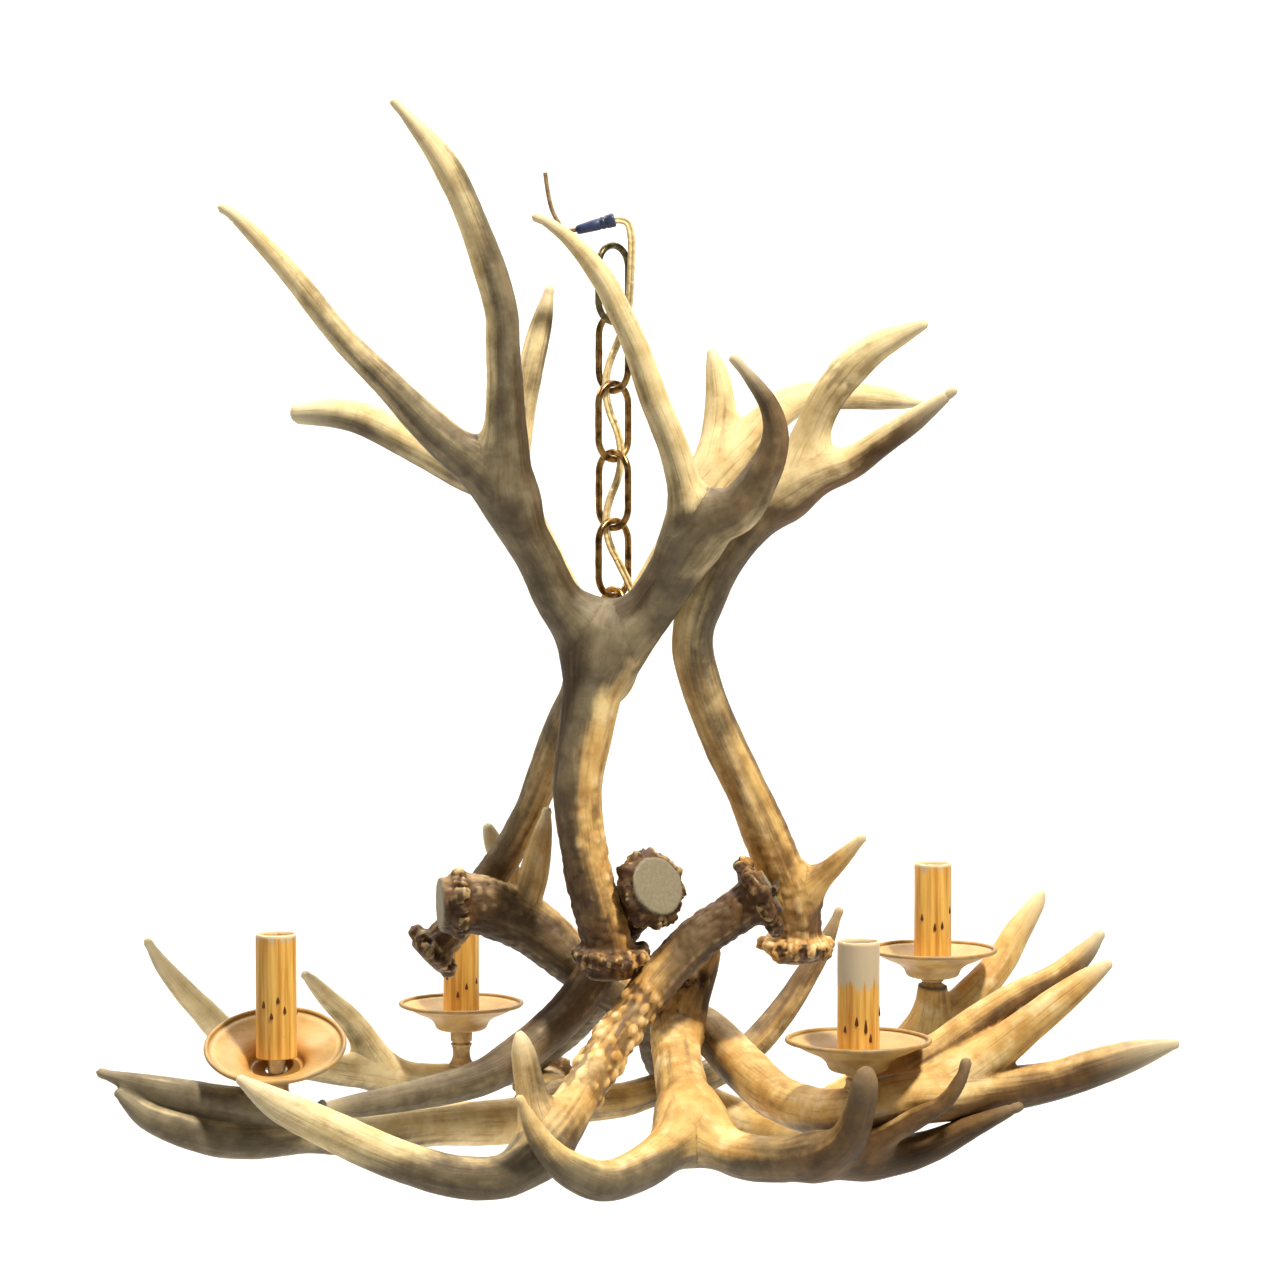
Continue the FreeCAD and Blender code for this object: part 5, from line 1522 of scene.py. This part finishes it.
# %% The route through the links
FLEX_SWING, FLEX_WIDTH = 8.8, 4.6
CONNECTOR_START, CONNECTOR_WAY = np.array((1.0, -12.0, 16.0)), np.array((-22.0, 1.0, -6.0))
CONNECTOR_LONG, CONNECTOR_WIDE, CONNECTOR_NARROW, SOCKET_DEPTH = 23.0, 8.4, 5.4, 5.0
way = CONNECTOR_WAY / np.linalg.norm(CONNECTOR_WAY)


def link_centre(index):
    return -(LINK_LENGTH / 2 - LINK_WIRE) - index * (LINK_LENGTH - 2 * LINK_WIRE - 0.3)


def spline_curve(name, points, resolution):
    """A smooth spline with these control points, in millimetres."""
    curve = bpy.data.curves.new(name, "CURVE")
    curve.dimensions = "3D"
    curve.resolution_u = resolution
    spline = curve.splines.new("NURBS")
    spline.points.add(len(points) - 1)
    for held, point in zip(spline.points, points):
        held.co = (*[v * MM for v in point], 1.0)
    spline.order_u = 3
    spline.use_endpoint_u = True
    return curve


def spline_line(points, resolution=24):
    """The points along such a spline, in metres."""
    route = bpy.data.objects.new("route", spline_curve("route", points, resolution))
    bpy.context.scene.collection.objects.link(route)
    depsgraph = bpy.context.evaluated_depsgraph_get()
    mesh = bpy.data.meshes.new_from_object(route.evaluated_get(depsgraph))
    line = np.array([v.co for v in mesh.vertices])
    bpy.data.objects.remove(route)
    bpy.data.meshes.remove(mesh)
    return line


def flex_route():
    points = [(17.0, 5.0, -13.0 + FOOT), (9.5, 0.0, 7.0 + FOOT)]
    side = -1
    for index in range(LINK_COUNT - 1, 0, -1):
        points.append((side * FLEX_SWING, 0.0, (link_centre(index) + link_centre(index - 1)) / 2))
        side = -side
    points[-1] = (FLEX_SWING, -1.0, points[-1][2])
    return points + [(10, -9, -18), (11, -13, 6), tuple(CONNECTOR_START - way * 7),
                     tuple(CONNECTOR_START + way * SOCKET_DEPTH)]


route = spline_line(flex_route())
steps = np.linalg.norm(np.diff(route, axis=0), axis=1)
print("the flex's route is", round(float(steps.sum()) / MM), "mm long")

# %% The flex in stretches
def twin_tube(line, first):
    """Two round strands side by side, as a flat twin flex."""
    tangent = directions(line)
    side = carried_sides(tangent, first)
    strands = [tube(line + side * sign * FLEX_WIDTH / 4 * MM, FLEX_WIDTH / 4 * MM * 0.98, 14)
               for sign in (-1, 1)]
    web = tube(line, FLEX_WIDTH / 4 * MM * 0.45, 8)
    return joined(*strands, web)


edges = [route[:, 2].max() + 1] + [link_centre(i) * MM for i in range(LINK_COUNT)] + [route[:, 2].min() - 1]
for index in range(LINK_COUNT + 1):
    high, low = edges[index], edges[index + 1]
    held = np.where((route[:, 2] <= high + 1e-6) & (route[:, 2] >= low - 1e-6))[0]
    held = np.arange(max(held.min() - 1, 0), min(held.max() + 2, len(route)))
    verts, faces = twin_tube(route[held], (1.0, 0.3, 0.0))
    if index == 0:
        piece = new_piece("flex_top", verts, faces, FLEX, "chain_link_0", [], "flex_pvc")
    else:
        piece = new_piece("flex_stretch_%d" % index, verts, faces, FLEX, None, [], "flex_pvc")
        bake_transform(piece)
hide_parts("flex")

# %% [markdown]
# ## Connector and tail
# At the top the flex ends in a dark moulded connector with grip rings, and a thin brown lead stands out of
# it. The connector is a tapered tube whose radius dips at the rings. The tail is a curve with a round
# bevel; it can be bent, one end is free, and it stands up by itself.

# %% Connector
# places along the connector, closer together at its ends and rings
along = np.array([0, 0.4, 1.2, 3, 5, 5.4, 6.2, 6.6, 8, 8.4, 9.2, 9.6, 14, 19, 21.5, 22.6, 23.0])
radius = CONNECTOR_WIDE / 2 + (CONNECTOR_NARROW - CONNECTOR_WIDE) / 2 * (along / CONNECTOR_LONG)
for spots, dip in (([0, -1], 0.8), ([1, -2], 0.25), ([5, 6, 9, 10], 0.35)):
    radius[spots] -= dip
verts, faces = tube((CONNECTOR_START + way * along[:, None]) * MM, radius * MM, 32)
new_piece("dark_connector", verts, faces, CONNECTOR, "chain_link_0", ["flex_connector"],
          "connector_plastic")
print("the connector is", CONNECTOR_LONG, "mm long")

# %% Tail
TAIL_WIDTH = 2.6
TAIL_POINTS = [(-31, -10, 13), (-37, -10, 25), (-39, -10, 43)]
tail_start = CONNECTOR_START + way * (CONNECTOR_LONG - SOCKET_DEPTH)
curve = spline_curve("free_tail", [tuple(tail_start), tuple(tail_start + way * 10)] + TAIL_POINTS, 20)
curve.bevel_depth = TAIL_WIDTH / 2 * MM
curve.bevel_resolution = 5
curve.use_fill_caps = True
curve.materials.append(TAIL)
tail = bpy.data.objects.new("free_tail", curve)
bpy.context.scene.collection.objects.link(tail)
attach(tail, "chain_link_0")
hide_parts("flex_tail")
print("the tail leaves the connector at", tail_start.round(1))

# %% [markdown]
# ## Studio
# A plain floor of pale paper curves up behind the object, so that no horizon shows. It is made as
# one strip whose section is a line, a quarter circle and a line.

# %% Paper sweep
FLOOR, BACK, REACH, SWEEP_RADIUS = -1.5, 2.8, 9.0, 1.4      # metres


def studio():
    line = [(-9.0, FLOOR), (BACK - SWEEP_RADIUS, FLOOR)]
    line += [(BACK - SWEEP_RADIUS + SWEEP_RADIUS * math.sin(a), FLOOR + SWEEP_RADIUS * (1 - math.cos(a)))
             for a in np.linspace(0.1, math.pi / 2, 14)]
    line += [(BACK, FLOOR + SWEEP_RADIUS + 3.0)]
    verts = [(x, y, z) for y, z in line for x in (-REACH, REACH)]
    faces = [(2 * i, 2 * i + 1, 2 * i + 3, 2 * i + 2) for i in range(len(line) - 1)]
    material, _, shader = new_material("studio_paper", Roughness=0.9)
    shader.inputs["Base Color"].default_value = rgb(0.9, 0.9, 0.895)
    sweep = new_piece("studio_sweep", verts, faces, material, None)
    sweep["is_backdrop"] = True


studio()
print("paper sweep", 2 * REACH, "m wide")

# %% [markdown]
# ## Light
# A strong warm key stands high at the right, with a weak cool fill from the left and a rim light
# from behind that parts the limbs from each other. One more lamp lights the paper. All are
# discs: the key is small, for crisp shadows, and the fill is wide, for hardly any.

# %% Lamps
MIDDLE = (0.02, 0.0, -0.25)
# name: (place, what it points at, size in metres, power in watts, colour)
LAMPS = {
    "key": ((0.85, -0.95, 1.85), MIDDLE, 0.3, 108, (1.0, 0.91, 0.76)),
    "fill": ((-1.9, -1.4, 0.2), MIDDLE, 1.8, 4, (0.95, 0.96, 1.0)),
    "rim": ((-1.3, 0.4, 1.2), MIDDLE, 0.5, 26, (1.0, 0.90, 0.74)),
    "backdrop": ((0.0, 1.5, 2.1), (0.0, 2.7, -0.2), 2.4, 90, (1.0, 1.0, 1.0)),
}
WORLD_LIGHT = 0.13


def area_light(name, place, target, size, power, colour):
    light = bpy.data.lights.new(name, "AREA")
    light.shape, light.size, light.energy, light.color = "DISK", size, power, colour
    lamp = bpy.data.objects.new(name, light)
    lamp.location = place
    lamp.rotation_euler = (Vector(target) - Vector(place)).to_track_quat("-Z", "Y").to_euler()
    bpy.context.scene.collection.objects.link(lamp)


for lamp_name, settings in LAMPS.items():
    area_light(lamp_name, *settings)
world = bpy.data.worlds.new("studio_world")
bpy.context.scene.world = world
world.use_nodes = True
world.node_tree.nodes["Background"].inputs["Color"].default_value = rgb(1.0, 1.0, 1.0)
world.node_tree.nodes["Background"].inputs["Strength"].default_value = WORLD_LIGHT
print("lamps:", len(LAMPS))

# %% [markdown]
# ## Camera
# The camera stands where the photograph was taken from: straight in front, at the height of the
# chain's fourth link, tilted a little down. A long lens keeps the perspective of the picture. The
# plain view transform keeps the colours as they are mixed above.

# %% Camera
CAMERA_PLACE = (0.0154, -2.0, -0.1286)      # metres
CAMERA_TILT, CAMERA_LENS, CAMERA_SENSOR = 2.79, 97.0, 36.0

camera_data = bpy.data.cameras.new("photo_camera")
camera_data.sensor_width, camera_data.lens = CAMERA_SENSOR, CAMERA_LENS
camera = bpy.data.objects.new("photo_camera", camera_data)
camera.location = CAMERA_PLACE
camera.rotation_euler = (math.radians(90 - CAMERA_TILT), 0, 0)
bpy.context.scene.collection.objects.link(camera)
bpy.context.scene.camera = camera
bpy.context.scene.view_settings.view_transform = "Standard"
print("camera at", tuple(camera.location))

# %% [markdown]
# ## Sizes and finish
# The dressed object must stay inside the box of the CAD, because that box is what other parts are fitted
# to. Both boxes are measured, and how far the dressed one reaches past the CAD's is printed.

# %% Sizes and finish
VISUAL_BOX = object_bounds()
cad, dressed = np.array(CAD_BOX), np.array(VISUAL_BOX)
print("past the CAD box, in mm:", (np.maximum(cad[0] - dressed[0], dressed[1] - cad[1]) / MM).round(2))
